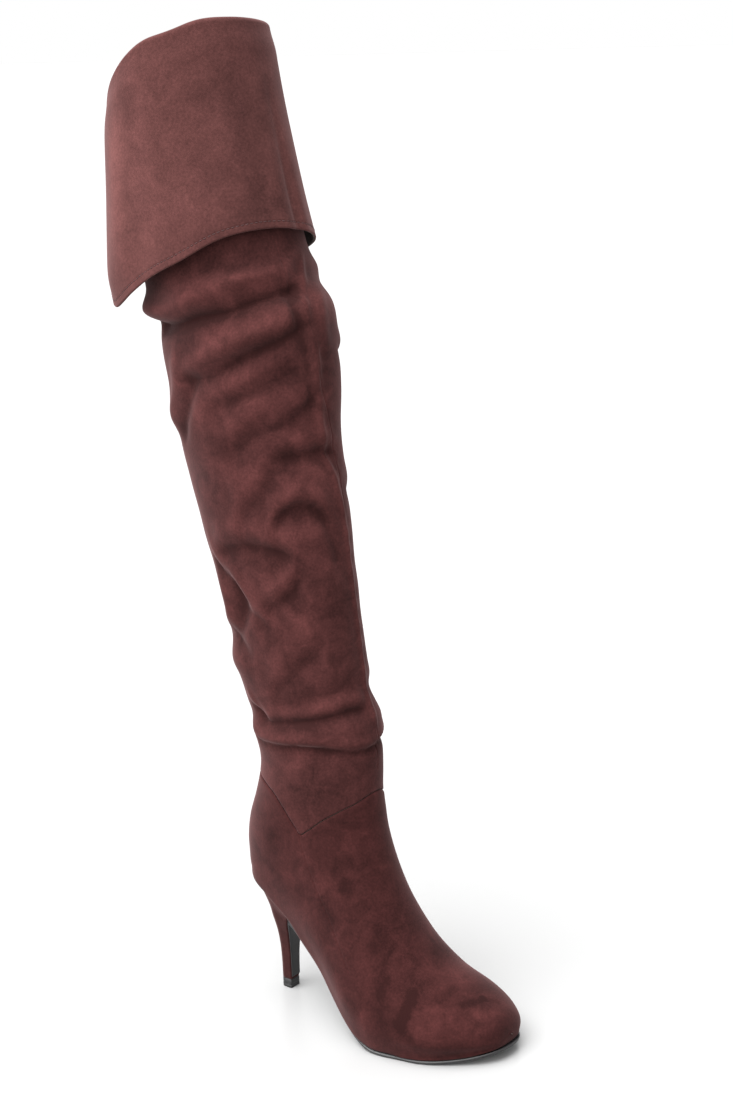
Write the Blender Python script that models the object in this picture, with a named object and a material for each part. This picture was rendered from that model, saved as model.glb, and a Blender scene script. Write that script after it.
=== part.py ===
"""Thigh-high stiletto boot for the right foot: tip, heel, sole, insole, foot upper, shaft, gore, cuff.

Tables are in millimetres in the boot's own frame: f runs forward from the heel tip, w towards
the outer side of the foot, z up from the floor.  World axes: x = -w, y = -f, z = z.
"""
import bpy
import bmesh
import numpy as np

MM = 0.001
FOOT_WALL = 2.2
LEG_WALL = 1.5
CUFF_WALL = 1.6
GORE_WALL = 1.4
GAP = 0.3
RIM_GAP = 0.2
SEAM_GAP = 0.6

TOE = 188.0
TOE_SIDE = -7.0
TOE_START = 118.0
HEEL_BACK = -24.0
HEEL_ROUND = 20.0
BREAST = 20.0
SOLE_EDGE = 0.8
SOLE_BEVEL = 1.2
INSOLE_THICK = 2.5
INSOLE_INSET = 4.3
INSOLE_TOE = 182.0
TIP_TOP = 6.7
FLAP_THICK = 1.2
FLAP_END = 9.0

CORNER = 13
REMAP_START = 11
ANKLE_START = 11.5
ROLL_RADIUS = 3.0
CUFF_OFFSET = 4.0
CUFF_CORNER = 24.0
SLIT_APEX = 532.0
SLIT_TOP = 612.0
SLIT_HALF = 13.0

COLUMNS = 28
SHAFT_ROWS = 42

# Stations shared by the upper's edge, the insole and the outsole, so that their facets agree.
STATIONS = np.array([186.6, 185.6, 184.6, 182, 179, 172, 163.5, 150, 136, 122, 110, 99, 89, 79,
                     69, 59, 49, 39, 29, 20, 12, 4, -4])


def table(columns, rows):
    return dict(zip(columns.split(), np.array(rows, float).T))


# Sole, one row per station: its upper face, its lower face, half widths of its two sides.
SOLE = table("f top base outer inner", [
    (-24, 90.5, 86.5, 25.5, 25.5),
    (-10, 86.8, 82.8, 25.5, 25.5),
    (6, 76.2, 72.0, 25.5, 25.5),
    (22, 65.2, 60.6, 26.0, 25.0),
    (38, 53.6, 48.8, 28.5, 24.5),
    (54, 41.0, 36.2, 32.0, 24.5),
    (68, 28.4, 23.6, 37.0, 26.0),
    (82, 16.6, 12.0, 41.8, 29.0),
    (96, 8.2, 4.2, 46.0, 33.0),
    (108, 4.5, 0.9, 47.0, 36.0),
    (118, 3.4, 0.0, 45.8, 37.8),
    (138, 3.3, 0.0, 40.5, 38.8),
    (152, 3.9, 0.6, 36.2, 38.3),
    (170, 6.3, 3.1, 29.4, 36.0),
    (188, 10.8, 7.6, 24.0, 32.0),
])

# Skin, one row per section, from the toe over the instep and up the leg to above the fold:
# back or sole point, front or top point, half width, height of the widest place, squareness.
# Up to the heel corner the back point lies on the sole, so its height is not used.
SKIN = table("back_f back_z front_f front_z half mid square", [
    (186.6, 0, 187, 17, 5.0, 0.40, 2.0),
    (184.6, 0, 185.6, 22.5, 14.0, 0.38, 2.0),
    (179, 0, 180.5, 28.5, 23.0, 0.35, 2.0),
    (165, 0, 168.5, 35.5, 34.0, 0.33, 2.05),
    (147, 0, 154, 43.5, 42.0, 0.31, 2.05),
    (125, 0, 136, 54, 45.0, 0.30, 2.0),
    (103, 0, 119.5, 70, 44.5, 0.30, 1.95),
    (82, 0, 107, 88, 42.0, 0.30, 1.95),
    (62, 0, 98, 106, 38.0, 0.31, 1.95),
    (42, 0, 91, 124, 35.0, 0.34, 2.0),
    (20, 0, 86, 142, 34.0, 0.39, 2.0),
    (-4, 0, 84.5, 157, 34.0, 0.45, 2.0),
    (-18, 0, 84, 165, 34.0, 0.48, 2.0),
    (-24, 90.8, 83.5, 170, 34.0, 0.50, 2.0),
    (-25.5, 101, 83.5, 174, 34.2, 0.50, 2.0),
    (-25.8, 115, 83.5, 179, 35.0, 0.50, 2.0),
    (-23, 132, 83.5, 184, 35.0, 0.50, 2.0),
    (-17, 150, 83.5, 190, 34.2, 0.50, 2.0),
    (-12.5, 166, 83.3, 198, 33.7, 0.50, 2.0),
    (-11, 180, 82.5, 206, 33.7, 0.50, 2.0),
    (-15, 198, 80.5, 215, 35.0, 0.50, 2.0),
    (-20, 222, 75, 232, 36.5, 0.50, 2.0),
    (-30, 255, 71, 258, 36.5, 0.50, 2.0),
    (-38, 290, 66, 290, 38.0, 0.50, 2.0),
    (-50, 332, 61, 332, 40.0, 0.50, 2.0),
    (-61, 372, 57.5, 372, 43.0, 0.50, 2.0),
    (-69, 406, 52, 406, 45.0, 0.50, 2.0),
    (-76, 440, 53, 440, 47.0, 0.50, 2.0),
    (-83, 473, 52, 473, 49.0, 0.50, 2.0),
    (-89, 495, 47.5, 495, 50.0, 0.50, 2.0),
    (-96, 520, 30.5, 520, 50.0, 0.50, 2.0),
    (-105, 556, 18.5, 556, 50.5, 0.50, 2.0),
    (-112, 600, 8, 600, 50.0, 0.50, 2.0),
    (-111, 632, 1, 632, 49.0, 0.50, 2.0),
    (-107, 680, -8, 680, 48.0, 0.50, 2.0),
])

# Slouch of the leg, one row per fold: height and angle of its middle, half span, rise per
# radian towards the back, half width across, depth (below nought for a trough).
FOLDS = table("z angle span rise width depth", [
    (513, 60, 50, -18, 8, 4.0),
    (501, 62, 45, -18, 6, -4.5),
    (492, 142, 22, 0, 7, 5.0),
    (479, 140, 22, 0, 7, -4.0),
    (476, 60, 35, -20, 8, 2.5),
    (463, 70, 28, -20, 6, -2.5),
    (446, 58, 20, -31, 6, -2.0),
    (421, 140, 22, 0, 12, 3.0),
    (419, 60, 20, -33, 7, -2.0),
    (399, 20, 30, -2, 7, -2.0),
    (360, 33, 20, 0, 7, -2.5),
    (339, 72, 24, 4, 7, -1.5),
    (303, 108, 16, 23, 7, -2.0),
    (268, 130, 24, 0, 8, -2.5),
    (252, 132, 26, 0, 9, 3.0),
    (228, 78, 62, -13, 7, -4.0),
    (210, 76, 66, -8, 8, 3.0),
    (498, -70, 45, 16, 8, -3.5),
    (511, -70, 45, 16, 8, 3.0),
    (455, -95, 40, 18, 9, -2.5),
    (415, -120, 35, 20, 9, -2.5),
    (362, -80, 35, 14, 9, -2.0),
    (300, -110, 35, 10, 9, -2.0),
    (229, -78, 60, 10, 7, -4.0),
    (211, -78, 60, 8, 8, 3.0),
])

# Ankle seam in the side view, where the shaft comes down in a V over the foot.
SEAM = table("f z", [
    (-28, 169), (0, 168.8), (10, 166.8), (23, 160.8), (32, 151.5), (38, 142.5), (42, 138),
    (47, 141), (58, 149.8), (70, 157.8), (79.5, 164), (84, 168.4), (90, 171),
])

# Top fold, lower edge of the cuff and flare of the cuff, by angle round the leg in degrees.
CUFF = table("angle fold edge flare", [
    (-180, 613, 490, 19),
    (-142, 627, 494, 14),
    (-120, 644, 503, 11),
    (-90, 660, 516, 6),
    (-52, 671, 530, 2.5),
    (-20, 675, 540, 1),
    (17, 677.5, 546, 1),
    (52, 676, 541, 2.5),
    (80, 668, 526, 6),
    (100, 656, 516, 8),
    (120, 642, 504, 12),
    (142, 625, 492, 15),
    (180, 613, 486, 20),
])

# Heel, one row per level: back, breast and half width, depth of its rounded back.
HEEL = table("z back front half round", [
    (7, -5.2, 5.0, 4.9, 4.9),
    (20, -5.4, 5.0, 5.1, 5.0),
    (34, -6.3, 5.3, 6.0, 5.8),
    (46, -8.0, 6.2, 8.0, 7.2),
    (56, -10.3, 7.6, 10.6, 8.9),
    (66, -12.6, 10.4, 13.0, 10.6),
    (75, -16.2, 13.6, 17.0, 13.8),
    (82, -20.8, 17.2, 22.0, 17.4),
    (86, -24.0, 20.0, 25.5, 20.0),
])


def smooth(xs, ys, x):
    """Cubic curve through the points, its slopes taken from the neighbours."""
    x = np.clip(np.asarray(x, float), xs[0], xs[-1])
    step = np.diff(xs)
    rate = np.diff(ys) / step
    inner = (rate[1:] * step[:-1] + rate[:-1] * step[1:]) / (step[1:] + step[:-1])
    slope = np.concatenate([[rate[0]], inner, [rate[-1]]])
    i = np.clip(np.searchsorted(xs, x, side="right") - 1, 0, len(xs) - 2)
    h = step[i]
    t = (x - xs[i]) / h
    return ((2 * t**3 - 3 * t**2 + 1) * ys[i] + (t**3 - 2 * t**2 + t) * h * slope[i]
            + (3 * t**2 - 2 * t**3) * ys[i + 1] + (t**3 - t**2) * h * slope[i + 1])


def ease(x, low, high):
    t = np.clip((np.asarray(x, float) - low) / (high - low), 0, 1)
    return t * t * (3 - 2 * t)


def round_end(x, start, end, power):
    t = np.clip((np.asarray(x, float) - start) / (end - start), 0, 1)
    return (1 - t**power) ** (1 / power)


# ---- Sole line ----

def sole_pitch(f):
    return smooth(SOLE["f"], SOLE["top"], f + 0.5) - smooth(SOLE["f"], SOLE["top"], f - 0.5)


def sole_top(f, lift=0.0):
    f = np.asarray(f, float)
    return smooth(SOLE["f"], SOLE["top"], f) + lift * np.sqrt(1 + sole_pitch(f) ** 2)


def sole_base(f):
    return np.maximum(smooth(SOLE["f"], SOLE["base"], f), 0.0)


def outline(f, side, inset=0.0, toe=TOE):
    """Edge of the sole as w, on the outer side (side 1) or the inner side (side -1)."""
    f = np.asarray(f, float)
    half = smooth(SOLE["f"], SOLE["outer" if side > 0 else "inner"], f) - inset
    tip = round_end(f, TOE_START, toe - inset, 2.0)
    heel = round_end(-f, -HEEL_BACK - HEEL_ROUND, -HEEL_BACK - inset, 2.0)
    return (side * half * tip + TOE_SIDE * (1 - tip)) * heel


# ---- Skin of the boot ----

def skin(v, a):
    """Outer skin at section v and angle a: 0 on the front or top, pi on the back or sole."""
    v, a = np.broadcast_arrays(np.asarray(v, float), np.asarray(a, float))
    a = np.where(np.abs(a) > np.pi + 1e-9, a - np.sign(a) * 2 * np.pi, a)
    index = np.arange(len(SKIN["half"]), dtype=float)
    back_f, front_f, front_z, half, mid, square = (
        smooth(index, SKIN[key], v)
        for key in ("back_f", "front_f", "front_z", "half", "mid", "square"))
    leg = index >= CORNER
    leg_z = smooth(index[leg], SKIN["back_z"][leg], np.maximum(v, CORNER))
    back_z = np.where(v < CORNER, sole_top(back_f, GAP), leg_z)
    inset = SOLE_EDGE * ease(back_f, 20, 60)
    outer = np.where(v < CORNER, outline(back_f, 1, inset), 0)
    inner = np.where(v < CORNER, outline(back_f, -1, inset), 0)
    middle = (outer + inner) / 2
    foot = np.clip((outer - inner) / 2, 0, half)
    s = np.abs(a)
    top_p = mid + (1 - mid) * np.abs(np.cos(s)) ** (2 / square)
    top_w = half * np.abs(np.sin(s)) ** (2 / square)
    q = np.clip((np.pi - s) / (np.pi / 2), 0, 1)
    closed = np.clip(1 - foot / (0.6 * half), 0, 1)
    low_p = mid * ((1 - closed) * q + closed * (1 - np.cos(q * np.pi / 2)))
    low_w = foot + (half - foot) * np.sin(q * np.pi / 2)
    top = s <= np.pi / 2
    p = np.where(top, top_p, low_p)
    sway = 0.6 * (1 - ease(back_f, 110, 150))
    w = np.sign(a) * np.where(top, top_w, low_w) + middle * (1 - sway * p)
    return np.stack([back_f + (front_f - back_f) * p, w, back_z + (front_z - back_z) * p], -1)


def normals(surface, u, a):
    """Unit normals of surface(u, a), pointing away from the leg."""
    du = surface(u + 0.02, a) - surface(u - 0.02, a)
    da = surface(u, a + 0.01) - surface(u, a - 0.01)
    n = np.cross(da, du)
    return n / np.linalg.norm(n, axis=-1, keepdims=True)


def solve(value, low, high):
    """Root of a rising function, element by element, by halving."""
    low = low + 0.0 * value(low)
    high = high + 0.0 * low
    for _ in range(34):
        mid = (low + high) / 2
        rising = value(mid) > 0
        high = np.where(rising, mid, high)
        low = np.where(rising, low, mid)
    return (low + high) / 2


def level(z, a):
    """Section v at which the skin passes height z, on the leg."""
    z, a = np.broadcast_arrays(np.asarray(z, float), np.asarray(a, float))
    low = np.where(np.abs(a) < np.pi / 2, ANKLE_START, float(CORNER))
    return solve(lambda v: skin(v, a)[..., 2] - z, low, len(SKIN["half"]) - 1.0)


def sole_section(f):
    """Section v whose back point stands on the sole at station f."""
    index = np.arange(len(SKIN["half"]), dtype=float)
    return solve(lambda v: f - smooth(index, SKIN["back_f"], v), 0.0 * f, float(CORNER))


def seam_z(f, shift=0.0):
    z = smooth(SEAM["f"], SEAM["z"], f)
    slope = smooth(SEAM["f"], SEAM["z"], f + 0.5) - smooth(SEAM["f"], SEAM["z"], f - 0.5)
    return z + shift * np.sqrt(1 + slope**2)


def seam_section(a, shift):
    """Section v at which the ankle seam crosses angle a."""
    def above(v):
        point = skin(v, a)
        return point[..., 2] - seam_z(point[..., 0], shift)
    return solve(above, np.full(np.shape(a), ANKLE_START), 22.0)


def slouch(z, a):
    """Outward shift of the leg's folds at height z and angle a."""
    shift = np.zeros(np.broadcast(z, a).shape)
    for z0, a0, span, rise, width, depth in zip(*(FOLDS[k] for k in FOLDS)):
        turn = (a - np.radians(a0) + np.pi) % (2 * np.pi) - np.pi
        across = (z - z0 - rise * turn) / width
        along = turn / np.radians(span)
        shift = shift + depth * np.exp(-across**2 - along**2)
    return shift * ease(z, 185, 205) * (1 - ease(z, 512, 530))


def leg(z, a):
    """Leg of the boot at height z and angle a, folds included."""
    v = level(z, a)
    return skin(v, a) + slouch(z, a)[..., None] * normals(skin, v, a)


def by_angle(key, a):
    return smooth(CUFF["angle"], CUFF[key], np.degrees(a))


def slit_half(z):
    return SLIT_HALF * np.clip((z - SLIT_APEX) / (SLIT_TOP - SLIT_APEX), 0, 1)


# ---- Bodies ----

def material(name, colour, roughness):
    mat = bpy.data.materials.new(name)
    mat.use_nodes = True
    shader = mat.node_tree.nodes["Principled BSDF"]
    shader.inputs["Base Color"].default_value = (*colour, 1.0)
    shader.inputs["Roughness"].default_value = roughness
    return mat


def body(name, points, faces, mat, flat=False):
    """One closed object from points in boot millimetres."""
    points = np.asarray(points, float)
    world = np.stack([-points[:, 1], -points[:, 0], points[:, 2]], -1) * MM
    mesh = bpy.data.meshes.new(name)
    mesh.from_pydata([tuple(p) for p in world], [], [tuple(f) for f in faces])
    bm = bmesh.new()
    bm.from_mesh(mesh)
    bmesh.ops.remove_doubles(bm, verts=bm.verts, dist=0.02 * MM)
    bmesh.ops.dissolve_degenerate(bm, edges=bm.edges, dist=0.002 * MM)
    bmesh.ops.recalc_face_normals(bm, faces=bm.faces)
    bmesh.ops.triangulate(bm, faces=bm.faces)
    if bm.calc_volume(signed=True) < 0:
        bmesh.ops.reverse_faces(bm, faces=bm.faces)
    for face in bm.faces:
        face.smooth = not flat
    bm.to_mesh(mesh)
    bm.free()
    mesh.materials.append(mat)
    item = bpy.data.objects.new(name, mesh)
    bpy.context.scene.collection.objects.link(item)
    return item


def shell(name, outer, inner, mat, tip=None):
    """Sheet with thickness from two matching grids; tip closes the first row with a fan."""
    rows, columns = outer.shape[:2]
    count = rows * columns
    points = np.concatenate([outer.reshape(-1, 3), inner.reshape(-1, 3)])
    where = np.arange(count).reshape(rows, columns)
    faces = []
    for r in range(rows - 1):
        for c in range(columns - 1):
            loop = [where[r, c], where[r, c + 1], where[r + 1, c + 1], where[r + 1, c]]
            faces.append(loop)
            faces.append([i + count for i in reversed(loop)])
    for r in range(rows - 1):
        for c in (0, columns - 1):
            if np.linalg.norm(outer[r, 0] - outer[r, -1]) + np.linalg.norm(
                    outer[r + 1, 0] - outer[r + 1, -1]) < 0.04:
                continue
            faces.append([where[r, c], where[r + 1, c], where[r + 1, c] + count, where[r, c] + count])
    ends = [where[-1]] if tip is not None else [where[0], where[-1]]
    for end in ends:
        for c in range(columns - 1):
            faces.append([end[c], end[c + 1], end[c + 1] + count, end[c] + count])
    if tip is not None:
        points = np.concatenate([points, np.asarray(tip, float)])
        apex = 2 * count
        first = where[0]
        for c in range(columns - 1):
            faces.append([first[c], first[c + 1], apex])
            faces.append([first[c + 1] + count, first[c] + count, apex + 1])
        for end in (first[0], first[-1]):
            faces.append([end, apex, apex + 1, end + count])
    return body(name, points, faces, mat)


def stack(name, rings, mat, flat=False):
    """Solid through matching closed rings, each a left half then its mirror, capped in strips."""
    rings = np.asarray(rings, float)
    levels, count = rings.shape[:2]
    faces = []
    for start in (0, (levels - 1) * count):
        for c in range((count - 1) // 2):
            loop = [c, c + 1, count - 2 - c, count - 1 - c]
            faces.append([start + i for i in dict.fromkeys(loop)])
    for r in range(levels - 1):
        for c in range(count):
            d = (c + 1) % count
            faces.append([r * count + c, r * count + d, (r + 1) * count + d, (r + 1) * count + c])
    return body(name, rings.reshape(-1, 3), faces, mat, flat)


def make_upper(mat):
    """Foot of the boot, from the toe to the ankle seam, open along the sole's edge."""
    a = np.linspace(-np.pi, np.pi, COLUMNS + 1)
    seam = seam_section(a, -SEAM_GAP / 2)
    front = sole_section(STATIONS)
    share = np.array([0.06, 0.115, 0.167, 0.21, 0.246, 0.27, 0.292, 0.44, 0.62, 0.81, 1.0])
    foot = np.repeat(front[:, None], len(a), 1)
    ankle = REMAP_START + (seam - REMAP_START)[None, :] * share[:, None]
    v = np.concatenate([foot, ankle])
    angle = np.repeat(a[None, :], len(v), 0)
    outer = skin(v, angle)
    n = normals(skin, np.maximum(v, 0.02), np.clip(angle, -np.pi + 0.011, np.pi - 0.011))
    for c in (0, -1):
        open_rows = v[:, c] < CORNER
        pitch = sole_pitch(outer[:, c, 0])
        up = np.stack([-pitch, 0 * pitch, 1 + 0 * pitch], -1)
        up = up / np.linalg.norm(up, axis=-1, keepdims=True)
        flat_n = n[:, c] - (n[:, c] * up).sum(-1, keepdims=True) * up
        flat_n = flat_n / np.linalg.norm(flat_n, axis=-1, keepdims=True)
        n[:, c] = np.where(open_rows[:, None], flat_n, n[:, c])
    shut = v[:, 0] >= CORNER
    n[shut, 0] = n[shut, -1] = np.array([-1.0, 0.0, 0.0])
    inner = outer - FOOT_WALL * n
    tip_f = TOE - SOLE_EDGE
    tip = [(f, TOE_SIDE, sole_top(f, GAP)) for f in (tip_f, tip_f - FOOT_WALL)]
    return shell("upper", outer, inner, mat, tip)


def make_shaft(mat):
    """Slouched leg from the ankle seam to the fold, with the slit at the back of its top."""
    c = np.linspace(-1, 1, COLUMNS + 1)
    low = skin(seam_section(c * np.pi, SEAM_GAP / 2), c * np.pi)[:, 2]
    high = by_angle("fold", c * np.pi) - ROLL_RADIUS - RIM_GAP
    t = np.linspace(0, 1, SHAFT_ROWS + 1)[:, None]
    z = low + (high - low) * t
    a = c * (np.pi - np.arcsin(slit_half(z) / 49.0))
    outer = leg(z, a)
    inner = outer - LEG_WALL * normals(leg, z, a)
    return shell("shaft", outer, inner, mat)


def make_gore(mat):
    """Elastic V in the slit, 0.3 mm inside its edges."""
    z = np.linspace(0, 1, 9)[:, None]
    start = SLIT_APEX + 6.0
    fold = by_angle("fold", np.pi) - ROLL_RADIUS - RIM_GAP
    z = start + (fold - start) * z
    c = np.linspace(-1, 1, 5)[None, :]
    half = np.arcsin((slit_half(z) - GAP) / 49.0)
    a = np.pi + c * half
    turned = np.where(a > np.pi, a - 2 * np.pi, a)
    outer = leg(z + 0 * a, turned)
    n = normals(leg, z + 0 * a, np.where(np.abs(turned) > np.pi - 0.02, np.pi - 0.02, turned))
    n[..., 1] = np.where(np.abs(np.abs(turned) - np.pi) < 0.02, 0, n[..., 1])
    return shell("back_gore", outer, outer - GORE_WALL * n, mat)


def cuff_surface(u, c):
    """Cuff at u (below nought round the roll, then 0 at its top to 1 at its edge) and c round it."""
    a = c * (np.pi - np.arcsin((SLIT_HALF + 1.5 + 3.0 * np.clip(u, 0, 1)) / 50.0))
    fold = by_angle("fold", a)
    edge = by_angle("edge", a)
    side = (1 - np.abs(c)) * np.pi * 62.0
    corner = np.clip(1 - side / CUFF_CORNER, 0, 1)
    edge = edge + CUFF_CORNER * (1 - np.sqrt(1 - corner**2))
    roll = np.clip(u, -1, 0) * np.pi
    drop = np.clip(u, 0, 1)
    z = fold - ROLL_RADIUS + ROLL_RADIUS * np.sin(-roll) + (edge - fold + ROLL_RADIUS) * drop
    away = CUFF_OFFSET - ROLL_RADIUS * (1 - np.cos(roll)) + by_angle("flare", a) * drop**1.3
    v = level(z, a)
    n = normals(skin, v, a)
    n = n * np.array([1.0, 1.0, 0.0])
    n = n / np.linalg.norm(n, axis=-1, keepdims=True)
    base = skin(v, a)
    return base + away[..., None] * n


def make_cuff(mat):
    """Turned-down cuff: it rolls over the shaft's rim and hangs open at the back."""
    u = np.array([-1, -0.75, -0.5, -0.25, 0, 0.08, 0.22, 0.4, 0.58, 0.76, 0.9, 1.0])
    c = np.linspace(-1, 1, COLUMNS + 1)
    c = np.concatenate([[-1, -0.985, -0.965], c[1:-1], [0.965, 0.985, 1]])
    u, c = np.meshgrid(u, c, indexing="ij")
    outer = cuff_surface(u, c)
    eps = 0.004
    du = cuff_surface(np.clip(u + eps, -1, 1), c) - cuff_surface(np.clip(u - eps, -1, 1), c)
    dc = cuff_surface(u, np.clip(c + eps, -1, 1)) - cuff_surface(u, np.clip(c - eps, -1, 1))
    n = np.cross(dc, du)
    n = n / np.linalg.norm(n, axis=-1, keepdims=True)
    return shell("cuff", outer, outer - CUFF_WALL * n, mat)


def slab(stations, low, high, inset, toe, bevel):
    """Sections of a plate on the sole line, between two heights and bevelled below."""
    rings = []
    for f in stations:
        out, back = outline(f, 1, inset, toe), outline(f, -1, inset, toe)
        cut = min(bevel, (out - back) / 4)
        bottom, top = low(f), high(f)
        rise = bottom + cut
        rings.append([(f, out, top), (f, out, rise), (f, out - cut, bottom),
                      (f, back + cut, bottom), (f, back, rise), (f, back, top)])
    return rings


def make_insole(mat):
    ends = np.array([0.15, 0.8, 2.2, 4.5, 8.0, 12.5])
    back = HEEL_BACK + INSOLE_INSET + ends
    front = (INSOLE_TOE - INSOLE_INSET - ends)[::-1]
    f = np.concatenate([back, STATIONS[(STATIONS > -5) & (STATIONS < 165)][::-1], front])
    rings = slab(f, lambda x: sole_top(x, GAP), lambda x: sole_top(x, GAP + INSOLE_THICK),
                 INSOLE_INSET, INSOLE_TOE, 0.4)
    return stack("insole", rings, mat)


def make_outsole(mat):
    """Sole from the toe to the breast, and the thin strip that runs on down the breast."""
    f = np.concatenate([TOE - np.array([0.05, 0.6]), STATIONS[STATIONS > BREAST + 1]])
    rings = slab(f, sole_base, sole_top, 0.0, TOE, SOLE_BEVEL)
    back = BREAST + GAP
    wide = outline(back, 1)
    rings.append([(back, wide, sole_top(back)), (back + 2.2, wide, sole_base(back + 3) + 1.5),
                  (back + 3.4, wide - SOLE_BEVEL, sole_base(back + 3.4)),
                  (back + 3.4, SOLE_BEVEL - wide, sole_base(back + 3.4)),
                  (back + 2.2, -wide, sole_base(back + 3) + 1.5), (back, -wide, sole_top(back))])
    for z in (65.9, 64.8, 63.0, 60.5, 56.0, 50.0, 41.0, 31.0, 20.0, FLAP_END):
        front, half, drop = heel_front(z) + GAP, heel_half(z) - 0.6, flap_drop(z)
        rings.append([(front, half, z), (front + 0.6, half, z - drop / 2),
                      (front + FLAP_THICK, half - 0.6, z - drop), (front + FLAP_THICK, 0.6 - half, z - drop),
                      (front + 0.6, -half, z - drop / 2), (front, -half, z)])
    return stack("outsole", rings, mat)


def heel_stretch(z, f):
    """Actual height of the heel's nominal level z, stretched to meet the seat."""
    top = HEEL["z"][-1]
    share = (sole_top(f) - HEEL["z"][0]) / (top - HEEL["z"][0])
    full = HEEL["z"][0] + (z - HEEL["z"][0]) * share
    return z + (full - z) * ease(z, 30, top)


def heel_front(z):
    """Breast of the heel at actual height z."""
    nominal = solve(lambda n: heel_stretch(n, smooth(HEEL["z"], HEEL["front"], n)) - z,
                    np.array(HEEL["z"][0]), HEEL["z"][-1])
    return float(smooth(HEEL["z"], HEEL["front"], nominal))


def heel_half(z):
    """Half the heel's width at actual height z."""
    nominal = solve(lambda n: heel_stretch(n, smooth(HEEL["z"], HEEL["front"], n)) - z,
                    np.array(HEEL["z"][0]), HEEL["z"][-1])
    return float(smooth(HEEL["z"], HEEL["half"], nominal))


def flap_drop(z):
    """How far the strip's face hangs below its back where it rounds into the sole."""
    return 4.4 * np.clip((z - 50) / 16.4, 0, 1) ** 2


def heel_section(z):
    """D-shaped section at nominal level z: points from the inner breast corner round the back."""
    keys = ("back", "front", "half", "round")
    back, front, half, depth = (float(smooth(HEEL["z"], HEEL[k], z)) for k in keys)
    turn = np.linspace(0, np.pi / 2, 9)
    curve_f = back + depth * (1 - np.cos(turn))
    curve_w = half * np.sin(turn)
    straight = np.linspace(front, back + depth, 4)[:-1]
    side_f = np.concatenate([straight, curve_f[::-1]])
    side_w = np.concatenate([0 * straight + half, curve_w[::-1]])
    f = np.concatenate([side_f, side_f[-2::-1]])
    w = np.concatenate([side_w, -side_w[-2::-1]])
    return f, w


def make_heel(mat):
    rings = []
    for z in (7.0, 14.0, 24.0, 34.0, 42.0, 49.0, 56.0, 62.0, 68.0, 74.0, 79.0, 83.0, 86.0):
        f, w = heel_section(z)
        rings.append(np.stack([f, w, heel_stretch(z, f)], -1))
    return stack("heel", rings, mat)


def make_tip(mat):
    rings = []
    for z in (0.0, TIP_TOP):
        f, w = heel_section(HEEL["z"][0])
        rings.append(np.stack([f, w, 0 * f + z], -1))
    return stack("heel_tip", rings, mat, flat=True)


def build():
    for item in list(bpy.data.objects):
        bpy.data.objects.remove(item, do_unlink=True)
    suede = material("suede", (0.115, 0.050, 0.052), 0.9)
    lining = material("insole_board", (0.10, 0.07, 0.06), 0.7)
    rubber = material("black_rubber", (0.012, 0.011, 0.012), 0.35)
    elastic = material("elastic", (0.15, 0.115, 0.095), 0.8)
    covered = material("covered_heel", (0.115, 0.050, 0.052), 0.9)
    make_tip(rubber)
    make_heel(covered)
    make_outsole(rubber)
    make_insole(lining)
    make_upper(suede)
    make_shaft(suede)
    make_gore(elastic)
    make_cuff(suede)


build()
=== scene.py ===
"""Looks of the thigh-high stiletto boot: faux suede skins, folds, seams, elastic, sole and studio.

Shapes repeat the part's own tables and functions, in the boot's frame: f runs forward from the heel
tip, w to the outer side, z up, in millimetres.  World axes: x = -w, y = -f, z = z, in metres.
"""
import math

import bmesh
import bpy
import numpy as np
from mathutils import Matrix, Vector
from mathutils.bvhtree import BVHTree
from mathutils.kdtree import KDTree

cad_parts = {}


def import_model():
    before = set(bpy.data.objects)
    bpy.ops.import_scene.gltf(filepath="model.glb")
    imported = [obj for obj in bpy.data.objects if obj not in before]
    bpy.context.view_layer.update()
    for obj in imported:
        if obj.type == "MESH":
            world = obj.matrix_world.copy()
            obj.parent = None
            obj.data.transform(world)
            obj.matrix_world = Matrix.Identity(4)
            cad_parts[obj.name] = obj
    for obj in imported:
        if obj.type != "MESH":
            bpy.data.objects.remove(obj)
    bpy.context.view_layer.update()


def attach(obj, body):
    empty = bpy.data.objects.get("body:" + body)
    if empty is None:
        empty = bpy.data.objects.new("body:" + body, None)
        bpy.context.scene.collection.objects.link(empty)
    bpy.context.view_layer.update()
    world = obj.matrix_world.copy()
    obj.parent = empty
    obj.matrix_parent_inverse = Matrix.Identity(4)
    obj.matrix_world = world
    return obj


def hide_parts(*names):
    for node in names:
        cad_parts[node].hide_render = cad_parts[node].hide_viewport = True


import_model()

MM = 0.001
GAP = 0.3
RIM_GAP = 0.2

# Thickness of the cloths.
FOOT_CLOTH = 2.0
LEG_CLOTH = 1.5
CUFF_CLOTH = 2.2
ELASTIC_CLOTH = 1.2
BINDING_CLOTH = 2.0
TAPE_CLOTH = 0.5
THREAD_RADIUS = 0.2
THREAD_SINK = 0.08

# Spacing of the finer meshes, and the distances within which their points are one.
LEG_PITCH = 2.15
CUFF_DOWN_PITCH = 1.9
CUFF_ROUND_PITCH = 1.65
GROOVE_PITCH = 0.25
COUNTER_TURN = 4.0
WELD = 0.004
THREAD_WELD = 0.0001
SLIVER = 0.0005

TOE = 188.0
TOE_SIDE = -7.0
TOE_START = 118.0
FULL_TOE = TOE + 0.6
HEEL_BACK = -24.0
HEEL_ROUND = 20.0
HEEL_AXIS = 4.0
BREAST = 20.0
SOLE_EDGE = 0.8
SOLE_BEVEL = 1.2
INSOLE_THICK = 2.5
INSOLE_INSET = 4.3
INSOLE_TOE = 182.0
STRIP_THICK = 1.2
STRIP_END = 9.0
STRIP_TOP = 66.2

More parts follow.
